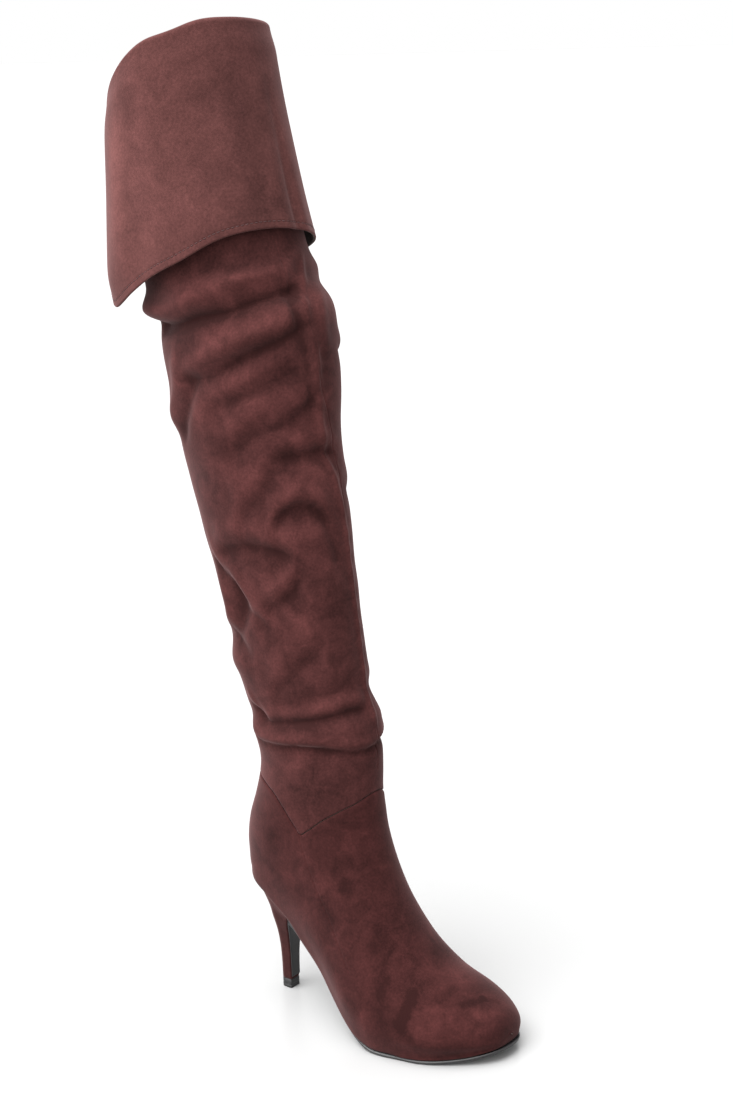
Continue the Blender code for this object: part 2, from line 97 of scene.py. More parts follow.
# Sections of the skin: the heel's corner, the start of the rows that follow the ankle seam, and
# the lowest at which the ankle is sought.
CORNER = 13
REMAP_START = 11
ANKLE_START = 11.5
LEG_FOOT = 140.0  # nominal start and length of the leg, by which its rows are spread
LEG_RUN = 530.0
LEG_RADIUS = 48.0  # mean, to turn angles into lengths
SLIT_RADIUS = 49.0  # of the leg beside the slit at its back
SLIT_APEX = 532.0
SLIT_TOP = 612.0
SLIT_HALF = 13.0

ROLL_RADIUS = 3.0
CUFF_OFFSET = 4.0
CUFF_CORNER = 24.0
CUFF_RADIUS = 62.0
CUFF_SLIT_RADIUS = 50.0
CUFF_DROP = 136.0
CUFF_HALF_ROUND = 163.0
CORNER_ROUND = 13.0
HEM = 1 - 4.6 / CUFF_DROP  # where the hem's stitches run, as a share of the drop
HEM_SIDE = 0.973  # and the front and back edge's, as a share of half the round

SIDES = {1: "outer", -1: "inner"}


def table(columns, rows):
    """Named columns, read as curves over the first of them."""
    return dict(zip(columns.split(), np.array(rows, float).T))


# Sole, one row per station: its upper face, its lower face, half widths of its two sides.
SOLE = table("f top base outer inner", [
    (-24, 90.5, 86.5, 25.5, 25.5),
    (-10, 86.8, 82.8, 25.5, 25.5),
    (6, 76.2, 72, 25.5, 25.5),
    (22, 65.2, 60.6, 26, 25),
    (38, 53.6, 48.8, 28.5, 24.5),
    (54, 41, 36.2, 32, 24.5),
    (68, 28.4, 23.6, 37, 26),
    (82, 16.6, 12, 41.8, 29),
    (96, 8.2, 4.2, 46, 33),
    (108, 4.5, 0.9, 47, 36),
    (118, 3.4, 0, 45.8, 37.8),
    (138, 3.3, 0, 40.5, 38.8),
    (152, 3.9, 0.6, 36.2, 38.3),
    (170, 6.3, 3.1, 29.4, 36),
    (188, 10.8, 7.6, 24, 32),
])

# Skin, one row per section, from the toe over the instep and up the leg to above the fold:
# back or sole point, front or top point, half width, height of the widest place, squareness.
# Up to the heel corner the back point lies on the sole, so its height is not used.
SKIN = table("back_f back_z front_f front_z half mid square", [
    (186.6, 0, 187, 17, 5, 0.4, 2),
    (184.6, 0, 185.6, 22.5, 14, 0.38, 2),
    (179, 0, 180.5, 28.5, 23, 0.35, 2),
    (165, 0, 168.5, 35.5, 34, 0.33, 2.05),
    (147, 0, 154, 43.5, 42, 0.31, 2.05),
    (125, 0, 136, 54, 45, 0.3, 2),
    (103, 0, 119.5, 70, 44.5, 0.3, 1.95),
    (82, 0, 107, 88, 42, 0.3, 1.95),
    (62, 0, 98, 106, 38, 0.31, 1.95),
    (42, 0, 91, 124, 35, 0.34, 2),
    (20, 0, 86, 142, 34, 0.39, 2),
    (-4, 0, 84.5, 157, 34, 0.45, 2),
    (-18, 0, 84, 165, 34, 0.48, 2),
    (-24, 90.8, 83.5, 170, 34, 0.5, 2),
    (-25.5, 101, 83.5, 174, 34.2, 0.5, 2),
    (-25.8, 115, 83.5, 179, 35, 0.5, 2),
    (-23, 132, 83.5, 184, 35, 0.5, 2),
    (-17, 150, 83.5, 190, 34.2, 0.5, 2),
    (-12.5, 166, 83.3, 198, 33.7, 0.5, 2),
    (-11, 180, 82.5, 206, 33.7, 0.5, 2),
    (-15, 198, 80.5, 215, 35, 0.5, 2),
    (-20, 222, 75, 232, 36.5, 0.5, 2),
    (-30, 255, 71, 258, 36.5, 0.5, 2),
    (-38, 290, 66, 290, 38, 0.5, 2),
    (-50, 332, 61, 332, 40, 0.5, 2),
    (-61, 372, 57.5, 372, 43, 0.5, 2),
    (-69, 406, 52, 406, 45, 0.5, 2),
    (-76, 440, 53, 440, 47, 0.5, 2),
    (-83, 473, 52, 473, 49, 0.5, 2),
    (-89, 495, 47.5, 495, 50, 0.5, 2),
    (-96, 520, 30.5, 520, 50, 0.5, 2),
    (-105, 556, 18.5, 556, 50.5, 0.5, 2),
    (-112, 600, 8, 600, 50, 0.5, 2),
    (-111, 632, 1, 632, 49, 0.5, 2),
    (-107, 680, -8, 680, 48, 0.5, 2),
])
SECTIONS = np.arange(len(SKIN["half"]), dtype=float)

# Slouch of the leg, one row per fold: height and angle of its middle, half span, rise per
# radian towards the back, half width across, depth (below nought for a trough).
FOLDS = table("z angle span rise width depth", [
    (513, 60, 50, -18, 8, 4),
    (501, 62, 45, -18, 6, -4.5),
    (492, 142, 22, 0, 7, 5),
    (479, 140, 22, 0, 7, -4),
    (476, 60, 35, -20, 8, 2.5),
    (463, 70, 28, -20, 6, -2.5),
    (446, 58, 20, -31, 6, -2),
    (421, 140, 22, 0, 12, 3),
    (419, 60, 20, -33, 7, -2),
    (399, 20, 30, -2, 7, -2),
    (360, 33, 20, 0, 7, -2.5),
    (339, 72, 24, 4, 7, -1.5),
    (303, 108, 16, 23, 7, -2),
    (268, 130, 24, 0, 8, -2.5),
    (252, 132, 26, 0, 9, 3),
    (228, 78, 62, -13, 7, -4),
    (210, 76, 66, -8, 8, 3),
    (498, -70, 45, 16, 8, -3.5),
    (511, -70, 45, 16, 8, 3),
    (455, -95, 40, 18, 9, -2.5),
    (415, -120, 35, 20, 9, -2.5),
    (362, -80, 35, 14, 9, -2),
    (300, -110, 35, 10, 9, -2),
    (229, -78, 60, 10, 7, -4),
    (211, -78, 60, 8, 8, 3),
])

# Ankle seam in the side view, where the shaft comes down in a V over the foot.
SEAM = table("f z", [
    (-28, 169), (0, 168.8), (10, 166.8), (23, 160.8), (32, 151.5), (38, 142.5), (42, 138),
    (47, 141), (58, 149.8), (70, 157.8), (79.5, 164), (84, 168.4), (90, 171),
])

# Top fold, lower edge of the cuff and flare of the cuff, by angle round the leg in degrees.
CUFF = table("angle fold edge flare", [
    (-180, 613, 490, 19),
    (-142, 627, 494, 14),
    (-120, 644, 503, 11),
    (-90, 660, 516, 6),
    (-52, 671, 530, 2.5),
    (-20, 675, 540, 1),
    (17, 677.5, 546, 1),
    (52, 676, 541, 2.5),
    (80, 668, 526, 6),
    (100, 656, 516, 8),
    (120, 642, 504, 12),
    (142, 625, 492, 15),
    (180, 613, 486, 20),
])

# Heel, one row per level: back, breast and half width, depth of its rounded back.
HEEL = table("z back front half round", [
    (7, -5.2, 5, 4.9, 4.9),
    (20, -5.4, 5, 5.1, 5),
    (34, -6.3, 5.3, 6, 5.8),
    (46, -8, 6.2, 8, 7.2),
    (56, -10.3, 7.6, 10.6, 8.9),
    (66, -12.6, 10.4, 13, 10.6),
    (75, -16.2, 13.6, 17, 13.8),
    (82, -20.8, 17.2, 22, 17.4),
    (86, -24, 20, 25.5, 20),
])
HEEL_FOOT, HEEL_TOP = HEEL["z"][0], HEEL["z"][-1]

# Creases that run round the leg, one row each: depth of the trough, its reach above and below,
# how far its ends fade in degrees, then its line as angle and height from back to front.
CREASES = [
    (5.6, 3.2, 7.5, 14, [(150, 477), (128, 479), (103, 484), (88, 489), (65, 494),
                       (44, 502), (23, 507), (5, 509)]),
    (3.4, 4, 8, 14, [(112, 446), (90, 450), (74, 457), (58, 467), (41, 474), (23, 482), (12, 486)]),
    (2.4, 4.6, 8.6, 12, [(92, 430), (69, 437), (50, 445), (37, 452), (26, 457)]),
    (2.6, 4.6, 8.6, 10, [(82, 401), (71, 406), (55, 415), (35, 422), (24, 430), (10, 440)]),
    (2.6, 3.8, 7, 9, [(50, 397), (32, 400), (14, 402), (-4, 399)]),
    (2.2, 4.5, 8, 9, [(88, 351), (74, 365), (62, 377), (48, 390)]),
    (-1.6, 5, 5, 8, [(62, 358), (47, 371), (33, 381)]),
    (3, 3, 6.5, 7, [(62, 347), (56, 356), (48, 364), (33, 367.5), (20, 362), (12, 355)]),
    (3, 4.4, 8, 12, [(116, 328), (100, 334), (84, 337), (66, 336), (50, 332), (42, 330)]),
    (-1.7, 4, 4, 7, [(72, 305), (58, 316.5), (46, 327)]),
    (2.4, 3.4, 6.6, 8, [(80, 295), (68, 300), (56, 307.5), (44, 318)]),
    (2.6, 3.7, 8, 8, [(130, 322), (116, 313), (104, 304), (94, 297)]),
    (2, 4.4, 8, 10, [(118, 293), (95, 291), (78, 285)]),
    (-1.4, 4, 5, 7, [(66, 299), (53, 290.5), (42, 281)]),
    (1.4, 4.2, 8, 10, [(130, 274), (118, 267), (104, 262)]),
    (1.9, 4.2, 7.6, 10, [(90, 238), (69, 250), (54, 260.5), (40, 267)]),
    (4, 3.2, 7, 12, [(126, 221), (107, 214), (92, 216), (66, 220), (42, 224), (16, 227), (0, 226)]),
    (3.2, 2, 4.5, 16, [(140, 203), (124, 198), (107, 199), (62, 202), (45, 201), (20, 199), (-10, 201),
                         (-60, 203), (-110, 205)]),
    (2.6, 3.4, 8, 18, [(-30, 505), (-60, 496), (-95, 486), (-130, 478)]),
    (2.6, 3.4, 8, 16, [(-20, 466), (-55, 455), (-95, 450), (-140, 440)]),
    (2.2, 4.1, 8, 16, [(-60, 418), (-95, 412), (-140, 404)]),
    (2.2, 4.1, 8, 16, [(-20, 372), (-60, 362), (-105, 356), (-150, 348)]),
    (1.9, 4.1, 8, 16, [(-70, 306), (-110, 298), (-155, 292)]),
    (2.9, 3.4, 8, 16, [(-32, 232), (-60, 226), (-90, 224), (-135, 220)]),
]

# Grooves and pleats that run down the leg: depth (below nought for a raised one), half width
# in degrees, then the line as height and angle.
PLEATS = [
    (2.6, 6, [(454, 101), (443, 105), (428, 112), (413, 121), (400, 128)]),
    (-1.8, 7, [(470, 112), (443, 121), (425, 132), (405, 140)]),
    (-1.7, 3.6, [(534, -12), (514, 0), (499, 13), (485, 15), (468, 12.5), (436, 12), (409, 8), (360, -4),
                 (300, -8), (210, -6)]),
    (1.8, 4, [(518, 8), (506, 16), (496, 22), (480, 23)]),
    (-1.8, 7, [(508, -12), (494, 0), (482, 3), (466, 0)]),
    (1.1, 3, [(520, 19), (500, 23), (470, 20), (430, 19)]),
    (1.6, 5, [(368, 50), (358, 54), (349, 58)]),
    (1.5, 6, [(360, 18), (348, 12), (336, 9), (318, 8)]),
    (2.4, 6, [(322, 114), (304, 104), (290, 104), (270, 117)]),
    (-2.2, 8, [(314, 130), (294, 122), (272, 134)]),
    (1.4, 5, [(236, 118), (224, 112), (214, 110)]),
]

# Front seam of the leg, and the foot's side seam from the V's point down to the sole.
FRONT_SEAM = table("z angle", [(140, 4), (210, -6), (300, -10), (360, -8), (408, -4), (449, 10), (471, 12),
                               (507, 15), (546, 14), (680, 10)])
FOOT_SEAM = table("v angle", [(7.2, 76), (8.4, 76.5), (9.2, 78), (10.2, 79), (11.5, 78.5), (12.3, 77.5)])

# Dents over the ball and the instep.
DENTS = table("f w z along across depth", [
    (118, 30, 30, 6, 16, 0.9),
    (106, 36, 22, 5, 14, -0.6),
    (92, 30, 55, 9, 18, 0.7),
    (70, 32, 70, 12, 14, 0.8),
    (128, -6, 52, 9, 20, 0.7),
    (148, 8, 40, 9, 22, -0.4),
    (40, 30, 100, 12, 16, 0.7),
    (84, -28, 50, 8, 16, 0.8),
])

# Soft waves of the cuff: angle and share of the drop of its middle, half widths and height.
WAVES = table("angle drop half tall height", [
    (160, 1, 26, 0.45, 8),
    (148, 1, 26, 0.11, -5.5),
    (-150, 1, 30, 0.35, 5.5),
    (-5, 0.85, 4, 0.4, -1.8),
    (-14, 0.95, 7, 0.3, 1.5),
    (8, 0.9, 7, 0.25, 1.6),
    (24, 0.92, 10, 0.2, -1.6),
    (-22, 0.8, 12, 0.3, 1.2),
    (60, 0.85, 22, 0.25, 1.2),
    (100, 0.7, 20, 0.5, -1),
    (135, 0.8, 12, 0.5, 1.2),
    (20, 0.3, 14, 0.4, -0.8),
    (70, 0.35, 30, 0.3, 0.7),
    (-90, 0.8, 25, 0.3, -1.2),
    (-140, 0.8, 14, 0.5, 1.5),
])

# Patches of nap brushed the other way, and of painted light and shade: sheen on the cuff's edges, shade on
# its front, under the roll and at the ankle, light on the calf. Columns: centre, reach along, across and up,
# and shade.
NAP_AND_PAINTED_LIGHT = table("f w z along across up shade", [
    (60, 34, 60, 10, 12, 16, -0.25),
    (75, 30, 95, 14, 12, 10, -0.2),
    (-10, 60, 560, 14, 10, 60, 0.25),
    (-50, 60, 560, 14, 10, 80, 0.3),
    (-77, 53, 582, 12, 16, 50, 0.8),
    (-70, 50, 620, 20, 14, 16, -0.25),
    (0, 55, 540, 16, 10, 14, -0.35),
    (20, 15, 562, 14, 16, 22, -0.35),
    (9, 17, 607, 14, 14, 30, -0.25),
    (7, -12, 612, 7, 7, 45, 0.45),
    (48, 11, 404, 16, 14, 50, 0.4),
    (17, 39, 404, 18, 14, 42, 0.3),
    (58, 30, 213, 26, 20, 9, -0.4),
    (55, 31, 175, 20, 20, 16, -0.15),
])

# Strokes of a finger over the nap of the foot: both ends, reach and shade.
STROKES = [
    ((135, 31, 47), (133, 44, 29), 4, -0.75),
    ((132, 45, 27), (140, 44, 20), 3.4, -0.4),
    ((115, 42, 45), (116, 37, 53), 4, -0.5),
    ((102, 26, 82), (104, 34, 70), 4.4, -0.35),
    ((102, 26, 82), (111, 26, 70), 4.4, -0.35),
    ((106, 31, 72), (111, 35, 61), 6, -0.25),
    ((149, 22, 42), (151, 10, 45), 3.8, -0.5),
    ((162, 14, 38), (167, -4, 37), 2.8, -0.6),
    ((167, -4, 37), (173, -12, 33), 2.4, -0.45),
    ((153, 36, 28), (147, 38, 28), 7, 0.28),
    ((176, 2, 31), (170, 11, 31), 5, 0.3),
    ((133, 16, 54), (126, 20, 56), 6, 0.25),
    ((44, 33, 128), (48, 33, 118), 6, 0.3),
    ((38, 33, 108), (30, 33, 100), 7, 0.3),
    ((69, 29, 118), (78, 29, 105), 5.5, -0.35),
    ((61, 35, 92), (70, 34, 84), 5, -0.25),
    ((17, 33, 129), (14, 33, 110), 8, -0.35),
]


# ---- Curves ----

def smooth(xs, ys, x):
    """Cubic curve through the points, its slopes taken from the neighbours."""
    x = np.clip(np.asarray(x, float), xs[0], xs[-1])
    step = np.diff(xs)
    rate = np.diff(ys) / step
    inner = (rate[1:] * step[:-1] + rate[:-1] * step[1:]) / (step[1:] + step[:-1])
    tangent = np.r_[rate[0], inner, rate[-1]]
    i = np.clip(np.searchsorted(xs, x, side="right") - 1, 0, len(xs) - 2)
    h = step[i]
    t = (x - xs[i]) / h
    return ((2 * t**3 - 3 * t**2 + 1) * ys[i] + (t**3 - 2 * t**2 + t) * h * tangent[i]
            + (3 * t**2 - 2 * t**3) * ys[i + 1] + (t**3 - t**2) * h * tangent[i + 1])


def curve(rows, key, x):
    """One column of a table, read at values x of its first."""
    return smooth(next(iter(rows.values())), rows[key], x)


def slope(rows, key, x):
    return curve(rows, key, x + 0.5) - curve(rows, key, x - 0.5)


def ease(x, low, high):
    t = np.clip((np.asarray(x, float) - low) / (high - low), 0, 1)
    return t * t * (3 - 2 * t)


def window(x, start, full, fall, end):
    """Share that rises from start to full and falls away from fall to end."""
    return ease(x, start, full) * (1 - ease(x, fall, end))


def fading(x, reach):
    """One at nought, falling evenly to nought at the reach."""
    return np.clip(1 - x / reach, 0, 1)


def bell(*scaled):
    """Bell curve of offsets that are already divided by its reaches."""
    return np.exp(-sum(offset**2 for offset in scaled))


def bumps(rows, *at):
    """Sum of the bells of a table, whose rows give centres, then reaches, then a height."""
    return sum(row[-1] * bell(*((x - row[k]) / row[k + len(at)] for k, x in enumerate(at)))
               for row in zip(*rows.values()))


def round_end(x, start, end, power):
    t = np.clip((np.asarray(x, float) - start) / (end - start), 0, 1)
    return (1 - t**power) ** (1 / power)


def quarter_round(count):
    """How far a quarter round stays back from each of its tangents, as shares of its radius."""
    bend = np.linspace(0, np.pi / 2, count)
    return 1 - np.cos(bend), 1 - np.sin(bend)


def wrapped(a, centre=0.0):
    """Turn from the centre to angle a, within half a round."""
    return (a - centre + np.pi) % (2 * np.pi) - np.pi


def unit(n):
    return n / np.maximum(np.linalg.norm(n, axis=-1, keepdims=True), 1e-9)


def flat_unit(n):
    """Level direction of vectors."""
    return unit(n * [1, 1, 0])


# ---- Sole line ----

def sole_top(f, lift=0.0):
    f = np.asarray(f, float)
    return curve(SOLE, "top", f) + lift * np.sqrt(1 + slope(SOLE, "top", f) ** 2)


def sole_base(f):
    return np.maximum(curve(SOLE, "base", f), 0.0)


def outline(f, side, inset=0.0, toe=TOE):
    """Edge of the sole as w, on the outer side (side 1) or the inner side (side -1)."""
    f = np.asarray(f, float)
    half = curve(SOLE, SIDES[side], f) - inset
    tip = round_end(f, TOE_START, toe - inset, 2.0)
    heel = round_end(-f, -HEEL_BACK - HEEL_ROUND, -HEEL_BACK - inset, 2.0)
    return (side * half * tip + TOE_SIDE * (1 - tip)) * heel


def visible_edge(f, side, inset=0.0):
    """Edge of the sole as it shows: fuller round the toe than the part's own outline."""
    f = np.asarray(f, float)
    half = curve(SOLE, SIDES[side], f) + 2.5 * ease(f, 124, 146) - inset
    tip = round_end(f, TOE_START, FULL_TOE - inset, 2.7)
    return np.where(f < TOE_START, outline(f, side, inset), side * half * tip + TOE_SIDE * (1 - tip))


def apron(f):
    """How far the suede reaches down over the edge of the sole."""
    return 0.35 + (3.85 - 2.4 * ease(f, 84, 104) - 0.8 * ease(f, 104, 122)) * ease(f, 21, 36)


# ---- Skin of the boot ----

def skin(v, a):
    """Outer skin at section v and angle a: 0 on the front or top, pi on the back or sole."""
    v, a = np.broadcast_arrays(np.asarray(v, float), np.asarray(a, float))
    a = np.where(np.abs(a) > np.pi + 1e-9, a - np.sign(a) * 2 * np.pi, a)
    back_f, _, front_f, front_z, half, mid, square = (smooth(SECTIONS, row, v) for row in SKIN.values())
    leg_part = SECTIONS >= CORNER
    leg_z = smooth(SECTIONS[leg_part], SKIN["back_z"][leg_part], np.maximum(v, CORNER))
    back_z = np.where(v < CORNER, sole_top(back_f, GAP), leg_z)
    inset = SOLE_EDGE * ease(back_f, 20, 60)
    outer, inner = (np.where(v < CORNER, outline(back_f, side, inset), 0) for side in SIDES)
    middle = (outer + inner) / 2
    foot_half = np.clip((outer - inner) / 2, 0, half)
    s = np.abs(a)
    top_p = mid + (1 - mid) * np.abs(np.cos(s)) ** (2 / square)
    top_w = half * np.abs(np.sin(s)) ** (2 / square)
    q = np.clip((np.pi - s) / (np.pi / 2), 0, 1)
    closed = fading(foot_half, 0.6 * half)
    low_p = mid * ((1 - closed) * q + closed * (1 - np.cos(q * np.pi / 2)))
    low_w = foot_half + (half - foot_half) * np.sin(q * np.pi / 2)
    top = s <= np.pi / 2
    p = np.where(top, top_p, low_p)
    sway = 0.6 * (1 - ease(back_f, 110, 150))
    w = np.sign(a) * np.where(top, top_w, low_w) + middle * (1 - sway * p)
    return np.stack([back_f + (front_f - back_f) * p, w, back_z + (front_z - back_z) * p], -1)


def normals(surface, u, a):
    """Unit normals of surface(u, a), pointing away from the leg."""
    du = surface(u + 0.02, a) - surface(u - 0.02, a)
    da = surface(u, a + 0.01) - surface(u, a - 0.01)
    return unit(np.cross(da, du))


def solve(value, low, high):
    """Root of a rising function, element by element, by halving."""
    low = low + 0.0 * value(low)
    high = high + 0.0 * low
    for _ in range(34):
        mid = (low + high) / 2
        rising = value(mid) > 0
        high = np.where(rising, mid, high)
        low = np.where(rising, low, mid)
    return (low + high) / 2


def level(z, a):
    """Section v at which the skin passes height z, on the leg."""
    z, a = np.broadcast_arrays(np.asarray(z, float), np.asarray(a, float))
    low = np.where(np.abs(a) < np.pi / 2, ANKLE_START, float(CORNER))
    return solve(lambda v: skin(v, a)[..., 2] - z, low, SECTIONS[-1])


def above_seam(points, shift=0.0):
    """Height over the ankle seam, which is itself shifted square to its line."""
    f = points[..., 0]
    return points[..., 2] - curve(SEAM, "z", f) - shift * np.sqrt(1 + slope(SEAM, "z", f) ** 2)


def away_from_seam(points):
    return above_seam(points) / np.sqrt(1 + slope(SEAM, "z", points[..., 0]) ** 2)


def seam_section(a, shift):
    """Section v at which the ankle seam crosses angle a."""
    return solve(lambda v: above_seam(skin(v, a), shift), np.full(np.shape(a), ANKLE_START), 22.0)


def seam_dip(distance):
    """How far a seam allowance turns inwards at a distance from the seam."""
    return 0.95 * np.exp(-(np.abs(distance) / 0.75) ** 1.3)


# ---- Folds of the leg ----

def slouch(z, a):
    """Outward shift of the leg's folds at height z and angle a."""
    shift = np.zeros(np.broadcast(z, a).shape)
    for z0, a0, span, rise, width, depth in zip(*FOLDS.values()):
        turn = wrapped(a, np.radians(a0))
        shift = shift + depth * bell((z - z0 - rise * turn) / width, turn / np.radians(span))
    return shift * window(z, 185, 205, 512, 530)


def creases(z, a):
    """Outward shift of the sharper folds and pleats."""
    shift = np.zeros(np.broadcast(z, a).shape)
    degrees = np.degrees(wrapped(a))
    for depth, above, below, fade, points in CREASES:
        angles, heights = np.array(sorted(points), float).T
        centre = smooth(angles, heights, degrees)
        steep = (smooth(angles, heights, degrees + 1) - centre) / (LEG_RADIUS * np.pi / 180)
        t = (z - centre) / np.sqrt(1 + steep**2)
        trough = -depth * np.exp(-np.abs(t / np.where(t > 0, above, below)) ** 1.35)
        lip = 0.45 * depth * bell((t - 2.6 * above) / (1.9 * above))
        first, last = angles[[0, -1]]
        shift = shift + (trough + lip) * window(degrees, first - fade / 2, first + fade,
                                                last - fade, last + fade / 2)
    for depth, half, points in PLEATS:
        heights, angles = np.array(sorted(points), float).T
        turn = wrapped(a, np.radians(smooth(heights, angles, z))) / np.radians(half)
        first, last = heights[[0, -1]]
        shift = shift - depth * bell(turn) * window(z, first - 4, first + 14, last - 14, last + 4)
    return shift


def ripple(z, a):
    """Slight unevenness of slack cloth."""
    x = np.asarray(a) * LEG_RADIUS
    return (0.35 * np.sin(z / 11.0 + 2.0 * np.sin(x / 26.0)) * np.sin(x / 17.0 + z / 31.0)
            + 0.22 * np.sin(z / 6.3 + x / 14.0) * np.sin(x / 9.0 - z / 23.0))


def puckers(z, a):
    """Short gathers on both sides of the front seam."""
    seam = np.radians(curve(FRONT_SEAM, "angle", z))
    away = np.abs(wrapped(a, seam)) * LEG_RADIUS
    wave = np.sin(z / 2.6 + 1.6 * np.sin(z / 9.0))
    return 0.32 * wave * bell((away - 3.5) / 3.2) * window(z, 215, 250, 530, 545)


def relief(z, a):
    """Outward shift of everything finer than the slouch."""
    loose = ease(z, 186, 206)
    uneven = (ripple(z, a) * (0.3 + 0.7 * loose) + puckers(z, a)) * (1 - ease(z, 528, 545))
    return creases(z, a) * loose * (1 - ease(z, 516, 534)) + uneven


def leg(z, a):
    """Leg of the boot with its large folds only."""
    v = level(z, a)
    return skin(v, a) + slouch(z, a)[..., None] * normals(skin, v, a)


def leg_skin(z, a):
    """Visible leg with all its folds, turned in a little at the ankle seam."""
    v = level(z, a)
    n = normals(skin, v, a)
    point = skin(v, a) + (slouch(z, a) + relief(z, a))[..., None] * n
    return point - (seam_dip(away_from_seam(point) + 0.1) * (z < 190))[..., None] * n


def slit_half(z):
    return SLIT_HALF * np.clip((z - SLIT_APEX) / (SLIT_TOP - SLIT_APEX), 0, 1)


def leg_top(a):
    """Height at which the leg ends, under the roll of the cuff."""
    return curve(CUFF, "fold", np.degrees(a)) - ROLL_RADIUS - RIM_GAP


# ---- Grids ----

def padded(values, axis, size):
    """Grid with its end rows or columns repeated along one axis."""
    margin = [(size, size) if k == axis else (0, 0) for k in (0, 1)]
    return np.pad(values, margin, mode="edge")


def blurred(values, reach):
    """Running mean over rows and columns, three times over."""
    for axis, size in enumerate(reach):
        kernel = np.ones(2 * size + 1) / (2 * size + 1)
        for _ in range(3):
            values = np.apply_along_axis(lambda row: np.convolve(row, kernel, "valid"), axis,
                                         padded(values, axis, size))
    return values


def lowest_near(values, reach):
    """Lowest value within some rows and columns of each point."""
    for axis, size in enumerate(reach):
        wide, count = padded(values, axis, size), values.shape[axis]
        values = np.min([np.take(wide, np.arange(k, k + count), axis) for k in range(2 * size + 1)], axis=0)
    return values


def ridge_wear_and_valley_shade(height, reach, strength):
    """Painted shade from relief: dark in valleys where shade falls, pale on ridges where the nap is rubbed.
    """
    return np.clip((height - blurred(height, reach)) * strength, -0.7, 0.35)


def from_ends(surface, axis):
    """Distance of each grid point from the nearer end of its column (axis 0) or row (axis 1)."""
    run = np.cumsum(np.linalg.norm(np.diff(surface, axis=axis), axis=-1), axis=axis)
    run = np.insert(run, 0, 0.0, axis=axis)
    return np.minimum(run, np.take(run, [-1], axis) - run)


def steps(length, pitch, low=True, density=np.ones_like):
    """Distances along a length: close together at rounded ends, then at the pitch and density."""
    fine = np.array([0, 0.05, 0.16, 0.32, 0.54, 0.85, 1.3, 2.0])
    head = fine if low else fine[:1]
    tail = length - fine[::-1]
    count = max(int((tail[0] - head[-1]) / pitch), 2)
    dense = np.linspace(head[-1], tail[0], 2000)
    weight = np.r_[0, np.cumsum((density(dense[1:]) + density(dense[:-1])) / 2)]
    body = np.interp(np.linspace(0, 1, count + 1)[1:-1], weight / weight[-1], dense)
    return np.r_[head, body, tail]


def quads(rows, columns, closed=False, start=0):
    r, c = np.meshgrid(np.arange(rows - 1), np.arange(columns if closed else columns - 1), indexing="ij")
    d = (c + 1) % columns
    face = np.stack([r * columns + c, r * columns + d, (r + 1) * columns + d, (r + 1) * columns + c], -1)
    return face.reshape(-1, 4) + start


# ---- Pieces ----

def world(points):
    points = np.asarray(points, float)
    return np.stack([-points[..., 1], -points[..., 0], points[..., 2]], -1) * MM


def edit_copy(mesh):
    bm = bmesh.new()
    bm.from_mesh(mesh)
    return bm


def write_back(bm, mesh):
    """Writes an edited mesh back, shaded smooth."""
    for face in bm.faces:
        face.smooth = True
    bm.to_mesh(mesh)
    bm.free()


def piece(name, points, faces, mat, weld=WELD, wear_and_shade=None, lined=None):
    """One visible mesh from boot millimetres, welded, with its faces turned outwards."""
    mesh = bpy.data.meshes.new(name)
    mesh.from_pydata(world(points).tolist(), [], [list(f) for f in faces])
    mesh.materials.append(mat)
    if lined is not None:
        mesh.materials.append(lining)
        mesh.polygons.foreach_set("material_index", [int(k >= lined) for k in range(len(faces))])
    # The attribute carries nap marks, rubbed ridges, painted shade in creases and dents, and painted light
    # and sheen.
    if wear_and_shade is not None:
        nap = mesh.attributes.new("wear_and_shade", "FLOAT", "POINT")
        nap.data.foreach_set("value", np.asarray(wear_and_shade, dtype=np.float32))
    bm = edit_copy(mesh)
    bmesh.ops.remove_doubles(bm, verts=bm.verts, dist=weld * MM)
    bmesh.ops.dissolve_degenerate(bm, edges=bm.edges, dist=SLIVER * MM)
    bmesh.ops.recalc_face_normals(bm, faces=bm.faces)
    if bm.calc_volume(signed=True) < 0:
        bmesh.ops.reverse_faces(bm, faces=bm.faces)
    write_back(bm, mesh)
    item = bpy.data.objects.new(name, mesh)
    bpy.context.scene.collection.objects.link(item)
    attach(item, "root")
    return item


def sheet_piece(name, outer, thick, edge, mat, skip=1, wear_and_shade=None, lined=False, dip=0.0):
    """Sheet of cloth from its outer surface and each point's distance from the nearest edge."""
    n = unit(np.cross(np.gradient(outer, axis=1), np.gradient(outer, axis=0)))
    same = np.linalg.norm(outer[:, 0] - outer[:, -1], axis=-1) < 0.01
    n[same, 0] = n[same, -1] = unit(n[:, 0] + n[:, -1])[same]
    half = (thick / 2 * np.sqrt(1 - fading(edge, thick / 2) ** 2))[..., None]
    front = outer - (thick / 2 - half) * n
    back = outer - (thick / 2 + half + (dip * np.clip(edge / 3, 0, 1))[..., None]) * n
    rows, columns = outer.shape[:2]
    keep = np.unique(np.r_[0:rows:skip, rows - 1])
    points = np.r_[front.reshape(-1, 3), back[keep].reshape(-1, 3)]
    faces = np.r_[quads(rows, columns), quads(len(keep), columns, start=rows * columns)]
    if wear_and_shade is not None:
        wear_and_shade = np.r_[wear_and_shade.ravel(), np.zeros(len(keep) * columns)]
    outside = (rows - 1) * (columns - 1)
    return piece(name, points, faces, mat, wear_and_shade=wear_and_shade, lined=outside if lined else None)


def rings_piece(name, rings, mat):
    """Closed solid through matching rings, capped with fans."""
    rings = np.asarray(rings, float)
    levels, count = rings.shape[:2]
    faces = quads(levels, count, closed=True).tolist()
    points = rings.reshape(-1, 3).tolist()
    for start, order in ((0, 1), ((levels - 1) * count, -1)):
        points.append(np.mean(rings[start // count], axis=0).tolist())
        for c in range(count):
            faces.append([start + c, start + (c + 1) % count, len(points) - 1][::order])
    return piece(name, points, faces, mat)


# ---- Materials ----

def scaled(colour, share):
    return tuple(c * share for c in colour)


